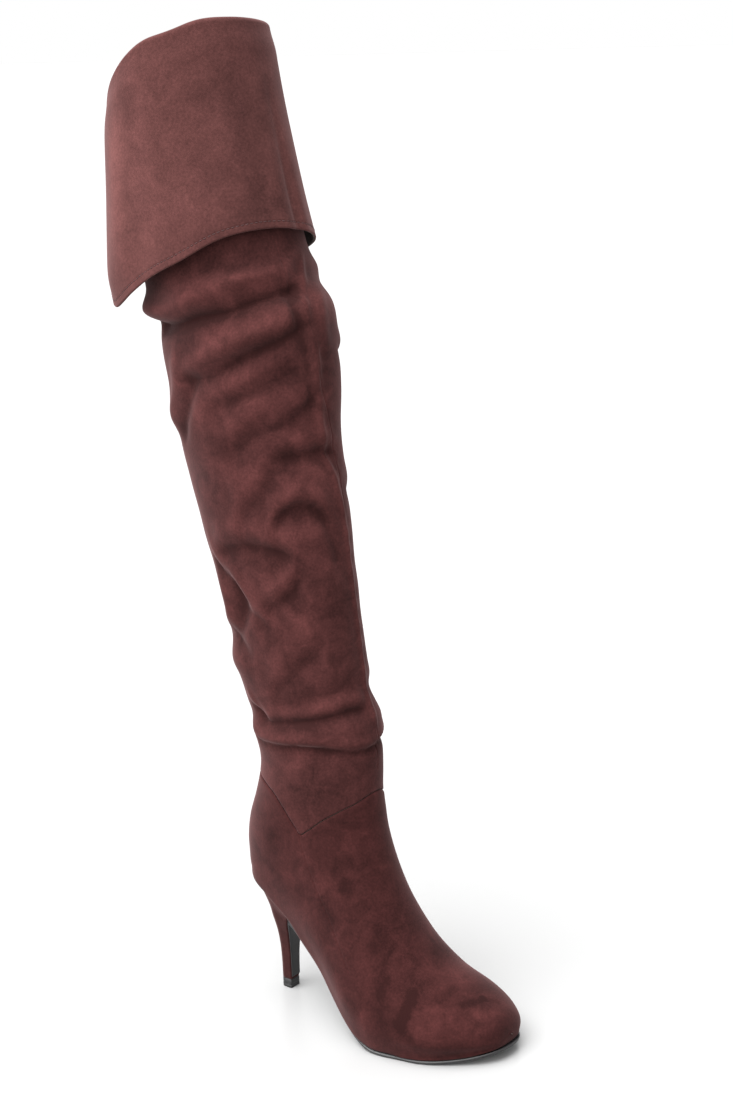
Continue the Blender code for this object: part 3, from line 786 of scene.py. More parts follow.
def feed(node, values):
    """Sets a node's inputs to plain values, or links sockets to them."""
    for key, value in values.items():
        if isinstance(value, bpy.types.NodeSocket):
            node.id_data.links.new(value, node.inputs[key])
        else:
            node.inputs[key].default_value = value
    return node.outputs


class Looks:
    """A new material and the nodes that give it its looks."""

    def __init__(self, name):
        self.mat = bpy.data.materials.new(name)
        self.mat.use_nodes = True
        self.tree = self.mat.node_tree
        self.shader = self.tree.nodes["Principled BSDF"]
        self.place = self.tree.nodes.new("ShaderNodeTexCoord").outputs["Object"]

    def node(self, kind, values, **settings):
        node = self.tree.nodes.new("ShaderNode" + kind)
        for key, value in settings.items():
            setattr(node, key, value)
        return feed(node, values)

    def noise(self, scale, detail=3.0, roughness=0.6, distortion=0.0):
        return self.node("TexNoise", {"Vector": self.place, "Scale": scale, "Detail": detail,
                                      "Roughness": roughness, "Distortion": distortion})["Fac"]

    def ribs(self, direction, scale, distortion=0.0):
        return self.node("TexWave", {"Vector": self.place, "Scale": scale, "Distortion": distortion,
                                     "Detail": 1.0}, wave_type="BANDS", bands_direction=direction)["Fac"]

    def maths(self, kind, *values, clamp=False):
        return self.node("Math", dict(enumerate(values)), operation=kind, use_clamp=clamp)[0]

    def mixed(self, *terms, plus=0.0):
        """Sum of sockets, each with its weight, and a number."""
        for socket, weight in terms:
            plus = self.maths("MULTIPLY_ADD", socket, weight, plus)
        return plus

    def ramp(self, factor, colour, stops):
        """Colour from a factor: each stop is a position and a share of the colour."""
        node = self.tree.nodes.new("ShaderNodeValToRGB")
        while len(node.color_ramp.elements) < len(stops):
            node.color_ramp.elements.new(0.5)
        for element, (position, share) in zip(node.color_ramp.elements, stops):
            element.position = position
            element.color = (*scaled(colour, share), 1.0)
        return feed(node, {"Fac": factor})["Color"]

    def finish(self, height, distance, strength, **values):
        """Sets the shader's inputs, a bump among them, and hands over the material."""
        normal = self.node("Bump", {"Height": height, "Distance": distance, "Strength": strength})
        feed(self.shader, {key.replace("_", " "): value for key, value in values.items()})
        feed(self.shader, {"Normal": normal["Normal"]})
        return self.mat


def suede(name, colour, patch=1.0):
    """Brushed faux suede: cloudy nap, short fibres, a painted sheen at grazing angles and painted shade from
    its attribute.
    """
    look = Looks(name)
    grain = look.noise(620.0)
    # The attribute darkens the colour in creases and dents as painted shade, pales it on rubbed ridges, and
    # adds nap marks and painted light.
    wear_and_shade = look.node("Attribute", {}, attribute_name="wear_and_shade")["Fac"]
    mix = look.mixed((look.noise(26.0, 3.0, 0.5, 0.8), 0.46 * patch),
                     (look.noise(68.0, 5.0, 0.62, 0.9), 0.62 * patch),
                     (grain, 0.42), (wear_and_shade, 0.30), plus=(1 - patch) * 0.54 - 0.25)
    # Painted sheen: the colour turns paler at grazing angles, and fades where the attribute paints shade.
    facing = look.node("LayerWeight", {"Blend": 0.4})["Facing"]
    painted_sheen = look.maths("MULTIPLY", look.maths("POWER", facing, 3.2), 0.55)
    painted_sheen = look.maths("MULTIPLY", painted_sheen, look.maths("MULTIPLY_ADD", wear_and_shade, 2.2, 1.0, clamp=True))
    base = look.ramp(mix, colour, [(0.30, 0.50), (0.48, 0.86), (0.60, 1.14), (0.80, 1.75)])
    blend = look.node("Mix", {"Factor": painted_sheen, "A": base, "B": (*PAINTED_SHEEN_COLOUR, 1.0)}, data_type="RGBA")
    height = look.mixed((look.noise(1500.0, 2.0, 0.7), 0.5), (grain, 1.0))
    return look.finish(height, 0.00022, 0.55, Base_Color=blend["Result"], Roughness=0.92,
                       Specular_IOR_Level=0.05, Sheen_Weight=0.10, Sheen_Roughness=0.42,
                       Sheen_Tint=(*BLOOM, 1.0))


def plain_cloth(name, colour, scale, roughness=0.85):
    """Lining or thread: fine mottled colour and a slight weave."""
    look = Looks(name)
    spots = look.noise(scale)
    return look.finish(spots, 0.0002, 0.4, Base_Color=look.ramp(spots, colour, [(0.3, 0.7), (0.7, 1.3)]),
                       Roughness=roughness)


def elastic_cloth(name, colour):
    """Ribbed elastic: fine cords side by side with weft across them."""
    look = Looks(name)
    height = look.mixed((look.ribs("X", 260.0, 0.6), 1.0), (look.ribs("Z", 420.0), 0.35))
    mix = look.mixed((height, 0.35), (look.noise(160.0), 0.5))
    return look.finish(height, 0.00025, 0.6, Base_Color=look.ramp(mix, colour, [(0.2, 0.6), (0.8, 1.25)]),
                       Roughness=0.75)


def black_rubber(name, gloss):
    """Glossy moulded sole: slight mottling and fine scratches."""
    look = Looks(name)
    fine = look.noise(700.0)
    base = look.ramp(look.noise(90.0, 4.0), (0.006, 0.0055, 0.006), [(0.35, 0.8), (0.75, 1.5)])
    return look.finish(fine, 0.0001, 0.2, Base_Color=base, Specular_IOR_Level=0.5,
                       Roughness=look.mixed((fine, 0.3), plus=gloss))


SUEDE = (0.040, 0.0128, 0.0122)
BLOOM = (0.85, 0.55, 0.55)
# Colour of the painted sheen at grazing angles.
PAINTED_SHEEN_COLOUR = (0.150, 0.080, 0.080)

# The cuff's suede is a lighter copy of the leg's and the foot's a darker one: painted light on the cuff,
# which faces up, and painted shade on the foot.
suede_leg = suede("suede_leg", SUEDE)
suede_foot = suede("suede_foot", (0.0306, 0.0089, 0.0085))
suede_cuff = suede("suede_cuff", (0.066, 0.0245, 0.0228), 0.55)
suede_heel = suede("suede_heel", scaled(SUEDE, 0.8), 0.6)
suede_binding = suede("suede_binding", (0.110, 0.042, 0.036), 0.5)
lining = plain_cloth("lining_cloth", (0.062, 0.036, 0.030), 500.0)
thread = plain_cloth("thread", (0.055, 0.022, 0.022), 1500.0, 0.7)
elastic = elastic_cloth("elastic", (0.060, 0.040, 0.032))
sole_rubber = black_rubber("sole_rubber", 0.30)
tip_rubber = black_rubber("tip_rubber", 0.38)
sock_cloth = plain_cloth("sock_cloth", (0.12, 0.085, 0.07), 300.0, 0.8)


# ---- Grooves and stitches ----

def run_of(path):
    """Distance along a polyline at each of its points."""
    return np.r_[0, np.cumsum(np.linalg.norm(np.diff(path, axis=0), axis=1))]


def at_run(path, run, s):
    """Values at distances s along a polyline, from its values at its points."""
    return np.stack([np.interp(s, run, path[:, k]) for k in range(3)], -1)


def engrave(item, paths, depth, width, reach):
    """Presses fine grooves into a piece along paths on its skin."""
    samples = []
    for path in paths:
        run = run_of(path)
        count = max(int(run[-1] / GROOVE_PITCH), 1)
        samples += world(at_run(path, run, np.linspace(0, run[-1], count + 1))).tolist()
    tree = KDTree(len(samples))
    for i, point in enumerate(samples):
        tree.insert(point, i)
    tree.balance()
    bm = edit_copy(item.data)
    near = {vert for vert in bm.verts if tree.find(vert.co)[2] < reach * MM}
    edges = [edge for edge in bm.edges
             if not near.isdisjoint(edge.verts) and edge.calc_length() > 0.45 * width * MM]
    bmesh.ops.subdivide_edges(bm, edges=edges, cuts=2, use_grid_fill=True)
    bm.normal_update()
    for vert in bm.verts:
        away = tree.find(vert.co)[2] / MM
        if away < 3 * width:
            vert.co += vert.normal * (-depth * math.exp(-(away / width) ** 2) * MM)
    write_back(bm, item.data)


def stitches(name, rows, pitch, length):
    """Rows of thread stitches lying on a skin, each row a path and its normals."""
    points, faces = [], []
    turn = np.linspace(0, 2 * np.pi, 7)[:-1]
    t, girth = np.array([(0, 0.25), (0.12, 0.8), (0.5, 1), (0.88, 0.8), (1, 0.25)]).T[..., None]
    lift = THREAD_RADIUS * (1.6 * np.sin(np.pi * t) - 0.4 + girth * np.sin(turn)) - THREAD_SINK
    sway = THREAD_RADIUS * girth * np.cos(turn)
    for path, normal in rows:
        run = run_of(path)
        for start in np.arange(pitch / 2, run[-1] - length, pitch):
            a, b = at_run(path, run, start), at_run(path, run, start + length)
            along = unit(b - a)
            side = unit(np.cross(at_run(normal, run, start), along))
            up = np.cross(along, side)
            base = len(points)
            rings = a + (b - a) * t[..., None] + up * lift[..., None] + side * sway[..., None]
            points += rings.reshape(-1, 3).tolist()
            faces += quads(5, 6, closed=True, start=base).tolist()
            faces += [list(range(base, base + 6)), list(range(base + 24, base + 30))[::-1]]
    return piece(name, points, faces, thread, weld=THREAD_WELD)


# ---- Foot ----

def dents(points):
    """Gentle dents over the ball and the instep."""
    f, w, z = np.moveaxis(points, -1, 0)
    return -sum(depth * bell((f - f0 + 0.35 * (z - z0)) / along, (w - w0) / across, (z - z0) / 22)
                for f0, w0, z0, along, across, depth in zip(*DENTS.values()))


def nap_and_painted_light(points):
    """Shade of the nap where it is brushed the other way, with painted light, sheen and shade on the leg and
    cuff.
    """
    f, w, z = np.moveaxis(points, -1, 0)
    shade = np.zeros(f.shape)
    for start, end, reach, value in STROKES:
        along = np.subtract(end, start)
        share = np.clip(((points - start) @ along) / (along @ along), 0, 1)
        away = np.linalg.norm(points - start - share[..., None] * along, axis=-1)
        shade = shade + value * np.exp(-(away / reach) ** 3)
    return shade + bumps(NAP_AND_PAINTED_LIGHT, f, w, z)


def foot_skin(v, a):
    """Visible foot: dented, turned in at the seam, fuller round the toe, reaching down over the sole."""
    base = skin(v, a)
    n = normals(skin, np.maximum(v, 0.02), np.clip(a, -np.pi + 0.011, np.pi - 0.011))
    f, w, z = np.moveaxis(base, -1, 0)
    rise = z - sole_top(f)
    away = np.abs(w - TOE_SIDE)
    side = np.where(w > TOE_SIDE, 1, -1)
    edge = np.where(side > 0, visible_edge(f, 1) - TOE_SIDE, TOE_SIDE - visible_edge(f, -1))
    edge = np.maximum(edge, 0.01)
    wide = (away**16 + edge**16) ** (1 / 16)
    widen = (wide - away) * fading(rise, 9) * ease(f, 120, 134) * ease(away / edge, 0.0, 0.7)
    tuck = (0.5 + 0.6 * (1 - ease(f, 30, 60))) * fading(rise, 4.5) ** 2
    shift = dents(base) - tuck - seam_dip(away_from_seam(base) - 0.1)
    base = base + shift[..., None] * n
    base[..., 1] += side * widen
    base[..., 2] -= apron(base[..., 0]) * fading(rise, 12) ** 2
    return base


def eased_corner(surface, v, angle):
    """Rounds off the crease where the foot's sections turn into the heel counter."""
    share = bell((v - CORNER) / 0.8) * window(np.abs(angle), 1.3, 1.9, 2.9, 3.08)
    share[[0, -1]] = 0
    share[:, [0, -1]] = 0
    for _ in range(14):
        around = sum(np.roll(surface, way, axis) for axis in (0, 1) for way in (1, -1)) / 4
        surface = surface + 0.7 * share[..., None] * (around - surface)
    return surface


def upper_hull(x, y):
    """Straightest line over a profile, at each of its points."""
    chain = []
    for point in zip(x, y):
        while len(chain) > 1 and ((chain[-1][1] - chain[-2][1]) * (point[0] - chain[-2][0])
                                  <= (point[1] - chain[-2][1]) * (chain[-1][0] - chain[-2][0])):
            chain.pop()
        chain.append(point)
    return np.interp(x, *zip(*chain))


def read_grid(grid, i, k):
    """Grid at fractional rows i and columns k."""
    i = np.clip(i, 0, len(grid) - 1.001)
    k = np.clip(k, 0, len(grid[0]) - 1.001)
    i0, k0 = i.astype(int), k.astype(int)
    di, dk = i - i0, k - k0
    return ((grid[i0, k0] * (1 - di) + grid[i0 + 1, k0] * di) * (1 - dk)
            + (grid[i0, k0 + 1] * (1 - di) + grid[i0 + 1, k0 + 1] * di) * dk)


def filled_counter(surface):
    """Fills the counter's hollow up to the straightest upright line over it, and tapers its seat."""
    rows, columns = surface.shape[:2]
    tree = BVHTree.FromPolygons(surface.reshape(-1, 3).tolist(), quads(rows, columns).tolist())
    turns, heights = np.arange(-112.0, 113.0, COUNTER_TURN), np.arange(74.0, 142.0)
    fill = np.zeros((len(turns), len(heights)))
    for turn, row in zip(turns, fill):
        towards = Vector((-math.cos(math.radians(turn)), math.sin(math.radians(turn)), 0.0))
        reach = np.array([tree.ray_cast(Vector((HEEL_AXIS, 0.0, z)), towards)[3] or 0.0 for z in heights])
        known = reach > 0
        row[known] = upper_hull(heights[known], reach[known]) - reach[known]
        row *= 1 - ease(abs(turn), 84, 108)
    f, w, z = np.moveaxis(surface, -1, 0)
    turn = np.arctan2(w, HEEL_AXIS - f)
    degrees = np.degrees(turn)
    more = read_grid(blurred(fill, (1, 1)), (degrees - turns[0]) / COUNTER_TURN, z - heights[0])
    more = more * ((z > heights[0]) & (z < heights[-1]))
    more = more - 0.9 * fading(z - sole_top(f), 16) ** 2 * (1 - ease(np.abs(degrees), 80, 108))
    return surface + (more * (f < BREAST))[..., None] * np.stack([-np.cos(turn), np.sin(turn), 0 * turn], -1)


def make_foot():
    a = np.pi * np.linspace(-1, 1, 181)
    close = np.pi - np.array([0, 0.012, 0.03, 0.055, 0.085, 0.12])
    a = np.r_[-close, a[(a > -close[-1] - 0.01) & (a < close[-1] + 0.01)][1:-1], close[::-1]]
    toe_rows = np.r_[0, 0.06, 0.15, 0.28, 0.45, 0.65, 0.85, np.linspace(1.05, REMAP_START, 100)]
    fine = np.array([0.006, 0.013, 0.021, 0.03, 0.042])
    share = np.r_[np.linspace(0, 0.93, 46)[1:], 1 - fine[::-1], 0.998, 1.0]
    ankle = REMAP_START + (seam_section(a, -0.08) - REMAP_START)[None, :] * share[:, None]
    v = np.r_[np.repeat(toe_rows[:, None], len(a), 1), ankle]
    angle = np.repeat(a[None, :], len(v), 0)
    surface = filled_counter(eased_corner(foot_skin(v, angle), v, angle))
    shrink = np.array([0.0, 0.4, 0.75])[:, None]
    cap = np.repeat(surface[:1], len(shrink), 0)
    cap[..., 0] += 0.35 * (1 - shrink**2)
    cap[..., 1] = TOE_SIDE + (cap[..., 1] - TOE_SIDE) * shrink
    surface = np.r_[cap, surface]
    edge = np.full(surface.shape[:2], 9.0)
    edge[-2:] = [[0.25], [0.0]]
    open_rows = np.r_[np.zeros(len(cap)), v[:, 0]] < CORNER
    for k, d in enumerate((0.0, 0.15, 0.5, 0.9)):
        edge[open_rows, k] = edge[open_rows, -1 - k] = d
    # Painted shade in the hollows of the dents, pale rubbed ridges, and nap marks.
    wear_and_shade = ridge_wear_and_valley_shade(dents(surface), (6, 6), 0.8) + nap_and_painted_light(surface)
    item = sheet_piece("foot_suede", surface, FOOT_CLOTH, edge, suede_foot, skip=3, wear_and_shade=wear_and_shade,
                       lined=True)
    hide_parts("upper")
    return item


def make_seam_tape():
    """Strip of lining that backs the ankle seam from inside."""
    c = np.linspace(-1, 1, 121)
    edge = np.array([0, 0.2, 1, 2, 3, 2, 1, 0.2, 0])[:, None]
    a = c * np.pi + 0 * edge
    v = seam_section(a[0], 0.0) + np.linspace(-0.55, 0.55, len(edge))[:, None]
    surface = skin(v, a) - 2.15 * normals(skin, v, a)
    return sheet_piece("seam_tape", surface, TAPE_CLOTH, edge + 0 * a, lining)


# ---- Leg ----

def fold_sag(degrees):
    """How far the fold at the top sags on the outer side."""
    return 4.0 * bell((degrees - 72) / 24)


def make_leg():
    c = np.linspace(-1, 1, 213)
    low = skin(seam_section(c * np.pi, 0.08), c * np.pi)[:, 2]
    high = leg_top(c * np.pi) - fold_sag(np.degrees(c * np.pi))

    def density(run):
        z = run + LEG_FOOT
        return 1 + 1.1 * ((z > 195) & (z < 240)) + 0.9 * ((z > 440) & (z < 518)) - 0.45 * (z > 535)

    z = low + (high - low) * (steps(LEG_RUN, LEG_PITCH, density=density) / LEG_RUN)[:, None]
    a = c * (np.pi - np.arcsin(slit_half(z) / SLIT_RADIUS))
    surface = leg_skin(z, a)
    edge = np.minimum(z - low, high - z)
    slit = z > SLIT_APEX + 1.5
    for k, d in enumerate((0.0, 0.35)):
        for column in (k, -1 - k):
            edge[:, column] = np.where(slit[:, column], np.minimum(edge[:, column], d), edge[:, column])
    large, fine = slouch(z, a), relief(z, a)
    height = large + fine
    # Painted shade in the troughs of the folds and creases, pale rubbed ridges, and nap marks with painted
    # light and shade.
    wear_and_shade = ridge_wear_and_valley_shade(large * 0.4 + fine, (6, 9), 0.26) + nap_and_painted_light(surface)
    item = sheet_piece("leg_suede", surface, LEG_CLOTH, edge, suede_leg, skip=4, wear_and_shade=wear_and_shade,
                       lined=True, dip=height - lowest_near(height, (5, 2)))
    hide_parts("shaft")
    return item


def over_slit(c, half):
    """Angles across the slit at the leg's back, for shares c of a half width."""
    a = np.pi + c * np.arcsin(half / SLIT_RADIUS)
    return np.where(a > np.pi, a - 2 * np.pi, a)


def make_elastic():
    start, top = SLIT_APEX + 6.0, leg_top(np.pi)
    z = start + (top - start) * np.linspace(0, 1, 46)[:, None]
    c = np.linspace(-1, 1, 25)[None, :]
    surface = leg(z + 0 * c, over_slit(c, slit_half(z) - GAP))
    edge = np.minimum(np.minimum(z - start, top - z) + 0 * c, (1 - np.abs(c)) * slit_half(z))
    item = sheet_piece("back_elastic", surface, ELASTIC_CLOTH, edge, elastic)
    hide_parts("back_gore")


def make_binding():
    """Folded suede strip over the top of the elastic."""
    top = leg_top(np.pi)
    z = top - 3.4 + 3.9 * np.linspace(0, 1, 9)[:, None]
    c = np.linspace(-1, 1, 31)[None, :]
    a = over_slit(c, slit_half(top) - 0.5) + 0 * z
    on_leg = np.minimum(z, top) + 0 * c
    surface = leg(on_leg, a)
    surface[..., 2] += z - on_leg
    surface = surface + 0.55 * normals(skin, level(on_leg, a), a)
    edge = np.minimum(np.minimum(z - z[0], z[-1] - z) + 0 * c, (1 - np.abs(c)) * slit_half(top) + 0 * z)
    return sheet_piece("elastic_binding", surface, BINDING_CLOTH, edge, suede_binding)


# ---- Cuff ----

def cuff_surface(u, c):
    """Cuff at u (below nought round the roll, then 0 at its top to 1 at its edge) and c round it."""
    drop, roll = np.clip(u, 0, 1), np.clip(u, -1, 0) * np.pi
    a = c * (np.pi - np.arcsin((SLIT_HALF + 1.5 + 3.0 * drop) / CUFF_SLIT_RADIUS))
    fold, edge, flare = (curve(CUFF, key, np.degrees(a)) for key in ("fold", "edge", "flare"))
    corner = fading((1 - np.abs(c)) * np.pi * CUFF_RADIUS, CUFF_CORNER)
    edge = edge + CUFF_CORNER * (1 - np.sqrt(1 - corner**2))
    z = fold - ROLL_RADIUS + ROLL_RADIUS * np.sin(-roll) + (edge - fold + ROLL_RADIUS) * drop
    away = CUFF_OFFSET - ROLL_RADIUS * (1 - np.cos(roll)) + flare * drop**1.3
    v = level(z, a)
    return skin(v, a) + away[..., None] * flat_unit(normals(skin, v, a))


def hem_share(c):
    """Share of its drop that the hem reaches, less at the rounded corners beside the slit."""
    inward = np.clip(CORNER_ROUND - (1 - np.abs(c)) * CUFF_HALF_ROUND, 0, CORNER_ROUND)
    return 1 - (CORNER_ROUND - np.sqrt(CORNER_ROUND**2 - inward**2)) / CUFF_DROP


def cuff_form(u, c):
    """Cuff with the soft waves, the front edge and the curling corners of real cloth."""
    u = np.where(u > 0, u * hem_share(c), u)
    base = cuff_surface(u, c)
    angle, drop = np.degrees(c * np.pi), np.clip(u, 0, 1)
    base[..., 2] -= fold_sag(angle) * (1 - ease(drop, 0.1, 0.6))
    shift = (2.0 + bumps(WAVES, angle, drop)) * ease(drop, 0.0, 0.12)
    n = flat_unit(base - skin(level(base[..., 2], c * np.pi), c * np.pi))
    return base + shift[..., None] * np.where(u[..., None] < 0, 0.0, n)


def make_cuff():
    u = np.r_[np.linspace(-1, 0, 15), steps(CUFF_DROP, CUFF_DOWN_PITCH, low=False)[1:] / CUFF_DROP]
    c = steps(2 * CUFF_HALF_ROUND, CUFF_ROUND_PITCH) / CUFF_HALF_ROUND - 1
    surface = cuff_form(*np.meshgrid(u, c, indexing="ij"))[::-1]
    edge = np.minimum(from_ends(surface, 0), from_ends(surface, 1))
    # The cuff's attribute carries painted sheen and painted shade along with its nap patches.
    item = sheet_piece("cuff_suede", surface, CUFF_CLOTH, edge, suede_cuff, skip=2,
                       wear_and_shade=nap_and_painted_light(surface), lined=True)
    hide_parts("cuff")
    return item


# ---- Heel ----

def heel_stretch(z, f):
    """Actual height of the heel's nominal level z, stretched to meet the seat."""
    share = (sole_top(f) - HEEL_FOOT) / (HEEL_TOP - HEEL_FOOT)
    full = HEEL_FOOT + (z - HEEL_FOOT) * share
    return z + (full - z) * ease(z, 30, HEEL_TOP)


def heel_at(key, z):
    """Breast or half width of the heel at actual height z."""
    nominal = solve(lambda n: heel_stretch(n, curve(HEEL, "front", n)) - z, np.array(HEEL_FOOT), HEEL_TOP)
    return curve(HEEL, key, nominal)


def heel_section(z, inset=0.0):
    """Outline of the heel at nominal level z: a flat breast, rounded corners and a round back."""
    back, front, half, depth = (float(curve(HEEL, key, z)) for key in ("back", "front", "half", "round"))
    back, front, half, depth = back + inset, front - inset, half - inset, depth - inset
    corner = min(1.2, half / 4)
    off_breast, off_side = quarter_round(6)
    off_back, off_widest = quarter_round(26)
    face_w = np.linspace(0, half - corner, 7)[:-1]
    f = np.r_[0 * face_w + front, front - corner * off_breast,
              np.linspace(front - corner, back + depth, 10)[1:-1], (back + depth * off_back)[::-1]]
    w = np.r_[face_w, half - corner * off_side, np.full(8, half), (half * (1 - off_widest))[::-1]]
    return np.r_[f, f[-2:0:-1]], np.r_[w, -w[-2:0:-1]]


def flush(z):
    """Inset that brings the heel's top in line with the foot above it."""
    return 1.9 * ease(z, 70, 85)


def make_heel():
    rings = []
    levels = [(HEEL_FOOT, 0.5, 0.0), (HEEL_FOOT + 0.1, 0.2, 0.0), (HEEL_FOOT + 0.4, 0.0, 0.0)]
    levels += [(z, flush(z), 0.0) for z in np.linspace(8, HEEL_TOP, 60)]
    for z, inset, lift in levels + [(HEEL_TOP, flush(HEEL_TOP) + 0.9, 0.7)]:
        f, w = heel_section(z, inset)
        rings.append(np.stack([f, w, heel_stretch(z, f) + lift], -1))
    item = rings_piece("heel_suede", rings, suede_heel)
    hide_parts("heel")


def make_tip():
    rings = []
    for z, inset in ((0, 0.25), (0.25, 0), (2.2, 0), (2.35, 0.15), (2.6, 0.15), (2.75, 0), (6.3, 0),
                     (6.7, 0.35)):
        f, w = heel_section(HEEL_FOOT, inset)
        rings.append(np.stack([f, w, 0 * f + z], -1))
    item = rings_piece("heel_tip_rubber", rings, tip_rubber)
    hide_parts("heel_tip")


# ---- Sole and sock ----

def sole_ring(f, inset, low, high, edge=visible_edge):
    """Closed section of a plate across the sole, with softly rounded lower corners."""
    out, back = (float(edge(f, side, inset)) for side in SIDES)
    cut = min(SOLE_BEVEL, (out - back) / 4)
    off_side, off_base = quarter_round(6)
    side, rise = cut * off_side, low + min(cut, (high - low) * 0.7) * off_base
    under, top = np.linspace(out - cut, back + cut, 22)[1:-1], np.linspace(back, out, 24)
    w = np.r_[out - side, under, back + side[::-1], top]
    z = np.r_[rise, 0 * under + low, rise[::-1], 0 * top + high]
    return np.stack([0 * w + f, w, z], -1)


def make_sole():
    ends = FULL_TOE - np.array([0.02, 0.1, 0.25, 0.5, 0.9, 1.4, 2.1, 3.0])
    back, last = BREAST + GAP, BREAST + GAP + 3.4
    rings = [sole_ring(x, 2.4 * (1 - ease(x, 84, 112)), sole_base(x), sole_top(x) - apron(x))
             for x in np.r_[ends, np.linspace(184, last, 120)]]
    closing = rings[-1].copy()
    closing[:, 0] = back
    closing[:, 1] *= outline(back, 1, 1.9) / closing[:, 1].max()
    closing[:, 2] += np.maximum(sole_top(back) - sole_top(last), 0)
    item = rings_piece("sole_rubber", rings + [closing], sole_rubber)
    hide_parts("outsole")


def make_breast_strip():
    """Thin glossy strip that carries the sole down the heel's breast and rounds into it."""
    rings = []
    off_side, off_face = quarter_round(5)
    for z in np.r_[STRIP_END, STRIP_END + 0.3, np.linspace(STRIP_END + 1.5, STRIP_TOP, 70)]:
        front, half = heel_at("front", z) + GAP, heel_at("half", z) - 0.6
        thick = STRIP_THICK * (0.5 + 0.5 * ease(z, 30, 60)) * (1.0 if z > STRIP_END + 0.2 else 0.6)
        drop = 4.4 * np.clip((z - 50) / 16.4, 0, 1) ** 2
        edge_w, edge_f = half - 0.5 * off_side, front + thick - 0.5 * off_face
        across = np.linspace(half - 0.5, 0.5 - half, 10)[1:-1]
        w = np.r_[half, edge_w, across, -edge_w[::-1], -half]
        f = np.r_[front, edge_f, 0 * across + front + thick, edge_f[::-1], front]
        rings.append(np.stack([f, w, z - drop * (f - front) / thick], -1))
    item = rings_piece("breast_strip", rings, sole_rubber)
    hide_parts("outsole")


def make_sock():
    ends = INSOLE_INSET + np.array([0.1, 0.5, 1.2, 2.4, 4.2, 7.0, 11.0])
    rings = [sole_ring(x, INSOLE_INSET, sole_top(x, GAP), sole_top(x, GAP + INSOLE_THICK),
                       lambda *at: outline(*at, INSOLE_TOE))
             for x in np.r_[HEEL_BACK + ends, np.linspace(-8, 164, 70), (INSOLE_TOE - ends)[::-1]]]
    item = rings_piece("sock", rings, sock_cloth)
    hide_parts("insole")


# ---- Seams ----

def outwards(path, inside):
    """Unit normals of a line on a skin: square to it and pointing away from a line inside."""
    along = unit(np.gradient(path, axis=0))
    n = path - inside
    return unit(n - (n * along).sum(1, keepdims=True) * along)


def back_line(side, gap):
    """Seam beside the back strip, parting round the elastic at the top, and its normals."""
    z = np.linspace(176, 606, 420)
    away = np.maximum(gap, slit_half(z) + 3.2)
    away = away + (gap - away) * (1 - ease(z, 500, 545))
    line = leg_skin(z, side * (np.pi - np.arcsin(away / SLIT_RADIUS)))
    inside = (leg_skin(z, np.full(len(z), 0.01)) + leg_skin(z, np.full(len(z), np.pi - 0.01))) / 2
    return line, outwards(line, inside)


def make_seams(foot, leg_piece, cuff_piece):
    z = np.linspace(184, 538, 400)
    front = leg_skin(z, np.radians(curve(FRONT_SEAM, "angle", z)))
    engrave(leg_piece, [front], 0.45, 0.45, reach=1.6)
    engrave(leg_piece, [back_line(side, 5.6)[0] for side in SIDES], 0.5, 0.45, reach=1.6)
    stitches("back_strip_stitches", [back_line(side, 7.6) for side in SIDES], pitch=3.0, length=2.1)
    v = np.linspace(FOOT_SEAM["v"][0], FOOT_SEAM["v"][-1], 200)
    a = np.radians(curve(FOOT_SEAM, "angle", v))
    heel_v = np.linspace(CORNER + 1.0, float(seam_section(np.array(np.pi), -0.1)), 120)
    back_seam = foot_skin(heel_v, np.full(120, np.pi - 0.02))
    engrave(foot, [foot_skin(v, a), foot_skin(v, -a), back_seam], 0.35, 0.4, reach=1.5)
    lines = [cuff_form(np.full(700, HEM), np.linspace(-HEM_SIDE, HEM_SIDE, 700))]
    lines += [cuff_form(np.linspace(0.04, HEM, 200), np.full(200, end)) for end in (-HEM_SIDE, HEM_SIDE)]
    engrave(cuff_piece, lines, 0.4, 0.4, reach=1.5)
    rows = []
    for line in lines:
        rows.append((line, outwards(line, line.mean(0) * [1, 0, 0] + line * [0, 0, 1])))
    stitches("cuff_hem_stitches", rows, pitch=3.2, length=2.3)


# ---- Studio ----

FLOOR_GREY = 0.325
FLOOR_SPAN = 60.0
VIEW_AZIMUTH, VIEW_PITCH, VIEW_ROLL = -52.0, 14.8, 1.5
CAMERA_AT = (-0.98754, -0.85178, 0.66791)
LENS = 64.57
SENSOR = 36.0
LAMP_AWAY = 3.0

# Soft lamps far away: direction of the lamp, its spread in degrees and its strength.
LAMPS = [
    ("key", (-0.35, 0.20, 1.30), 60.0, 6.5),
    ("side", (-1.00, 0.10, 0.62), 75.0, 4.2),
]


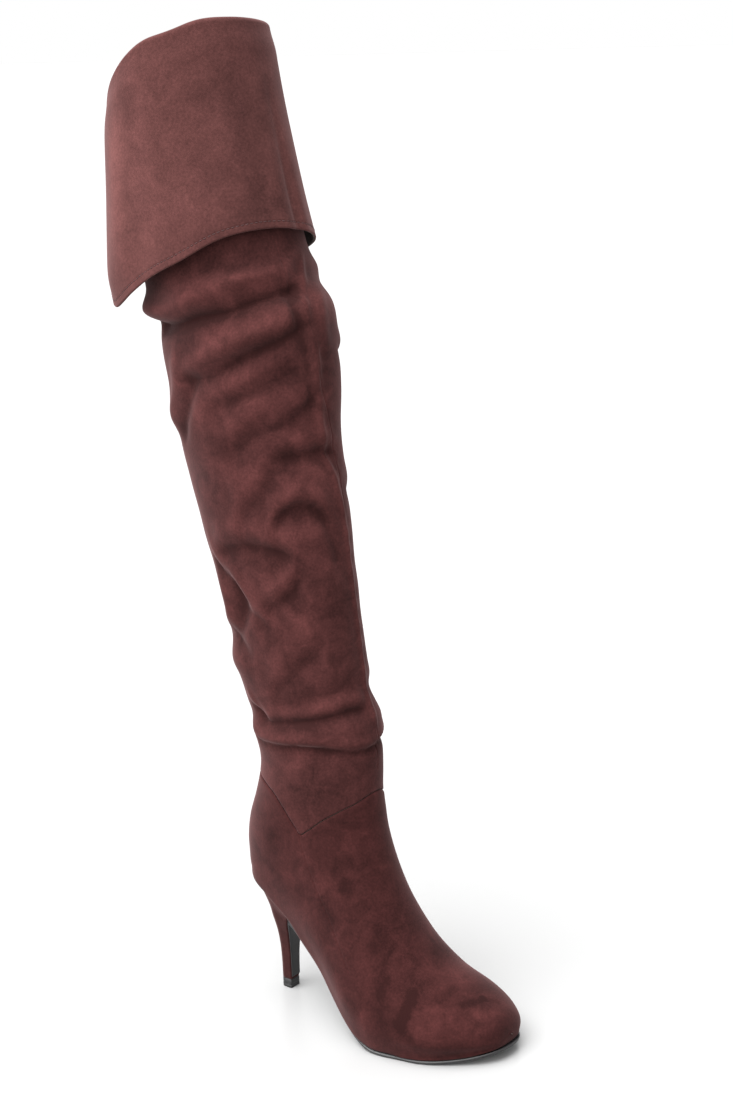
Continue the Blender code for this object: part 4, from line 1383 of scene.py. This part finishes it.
def make_studio():
    floor = bpy.data.meshes.new("floor")
    corners = [(x * FLOOR_SPAN, y * FLOOR_SPAN, 0) for x, y in ((-1, -1), (1, -1), (1, 1), (-1, 1))]
    floor.from_pydata(corners, [], [(0, 1, 2, 3)])
    paper = bpy.data.materials.new("floor_paper")
    paper.use_nodes = True
    feed(paper.node_tree.nodes["Principled BSDF"],
         {"Base Color": (FLOOR_GREY,) * 3 + (1.0,), "Roughness": 0.28, "Specular IOR Level": 0.5})
    floor.materials.append(paper)
    item = bpy.data.objects.new("floor", floor)
    scene = bpy.context.scene
    scene.collection.objects.link(item)
    scene.view_settings.view_transform = "Standard"
    scene.view_settings.look = "None"
    scene.world = bpy.data.worlds.new("studio")
    scene.world.use_nodes = True
    feed(scene.world.node_tree.nodes["Background"], {"Color": (1.0, 1.0, 1.0, 1.0), "Strength": 1.0})
    for name, towards, spread, power in LAMPS:
        lamp = bpy.data.lights.new(name, "SUN")
        lamp.angle = math.radians(spread)
        lamp.energy = power
        holder = bpy.data.objects.new(name, lamp)
        holder.rotation_euler = Vector(towards).to_track_quat("Z", "Y").to_euler()
        holder.location = Vector(towards) * LAMP_AWAY
        scene.collection.objects.link(holder)


def make_camera():
    camera = bpy.data.cameras.new("camera")
    camera.lens = LENS
    camera.sensor_width = SENSOR
    camera.clip_start, camera.clip_end = 0.05, 50.0
    holder = bpy.data.objects.new("camera", camera)
    holder.matrix_world = Matrix.Translation(CAMERA_AT)
    for axis, degrees in ("Z", VIEW_AZIMUTH), ("X", 90.0 - VIEW_PITCH), ("Z", -VIEW_ROLL):
        holder.matrix_world = holder.matrix_world @ Matrix.Rotation(math.radians(degrees), 4, axis)
    bpy.context.scene.collection.objects.link(holder)
    bpy.context.scene.camera = holder


foot = make_foot()
make_seam_tape()
leg_piece = make_leg()
make_elastic()
cuff_piece = make_cuff()
make_seams(foot, leg_piece, cuff_piece)
make_binding()
make_heel()
make_tip()
make_sole()
make_breast_strip()
make_sock()
make_studio()
make_camera()
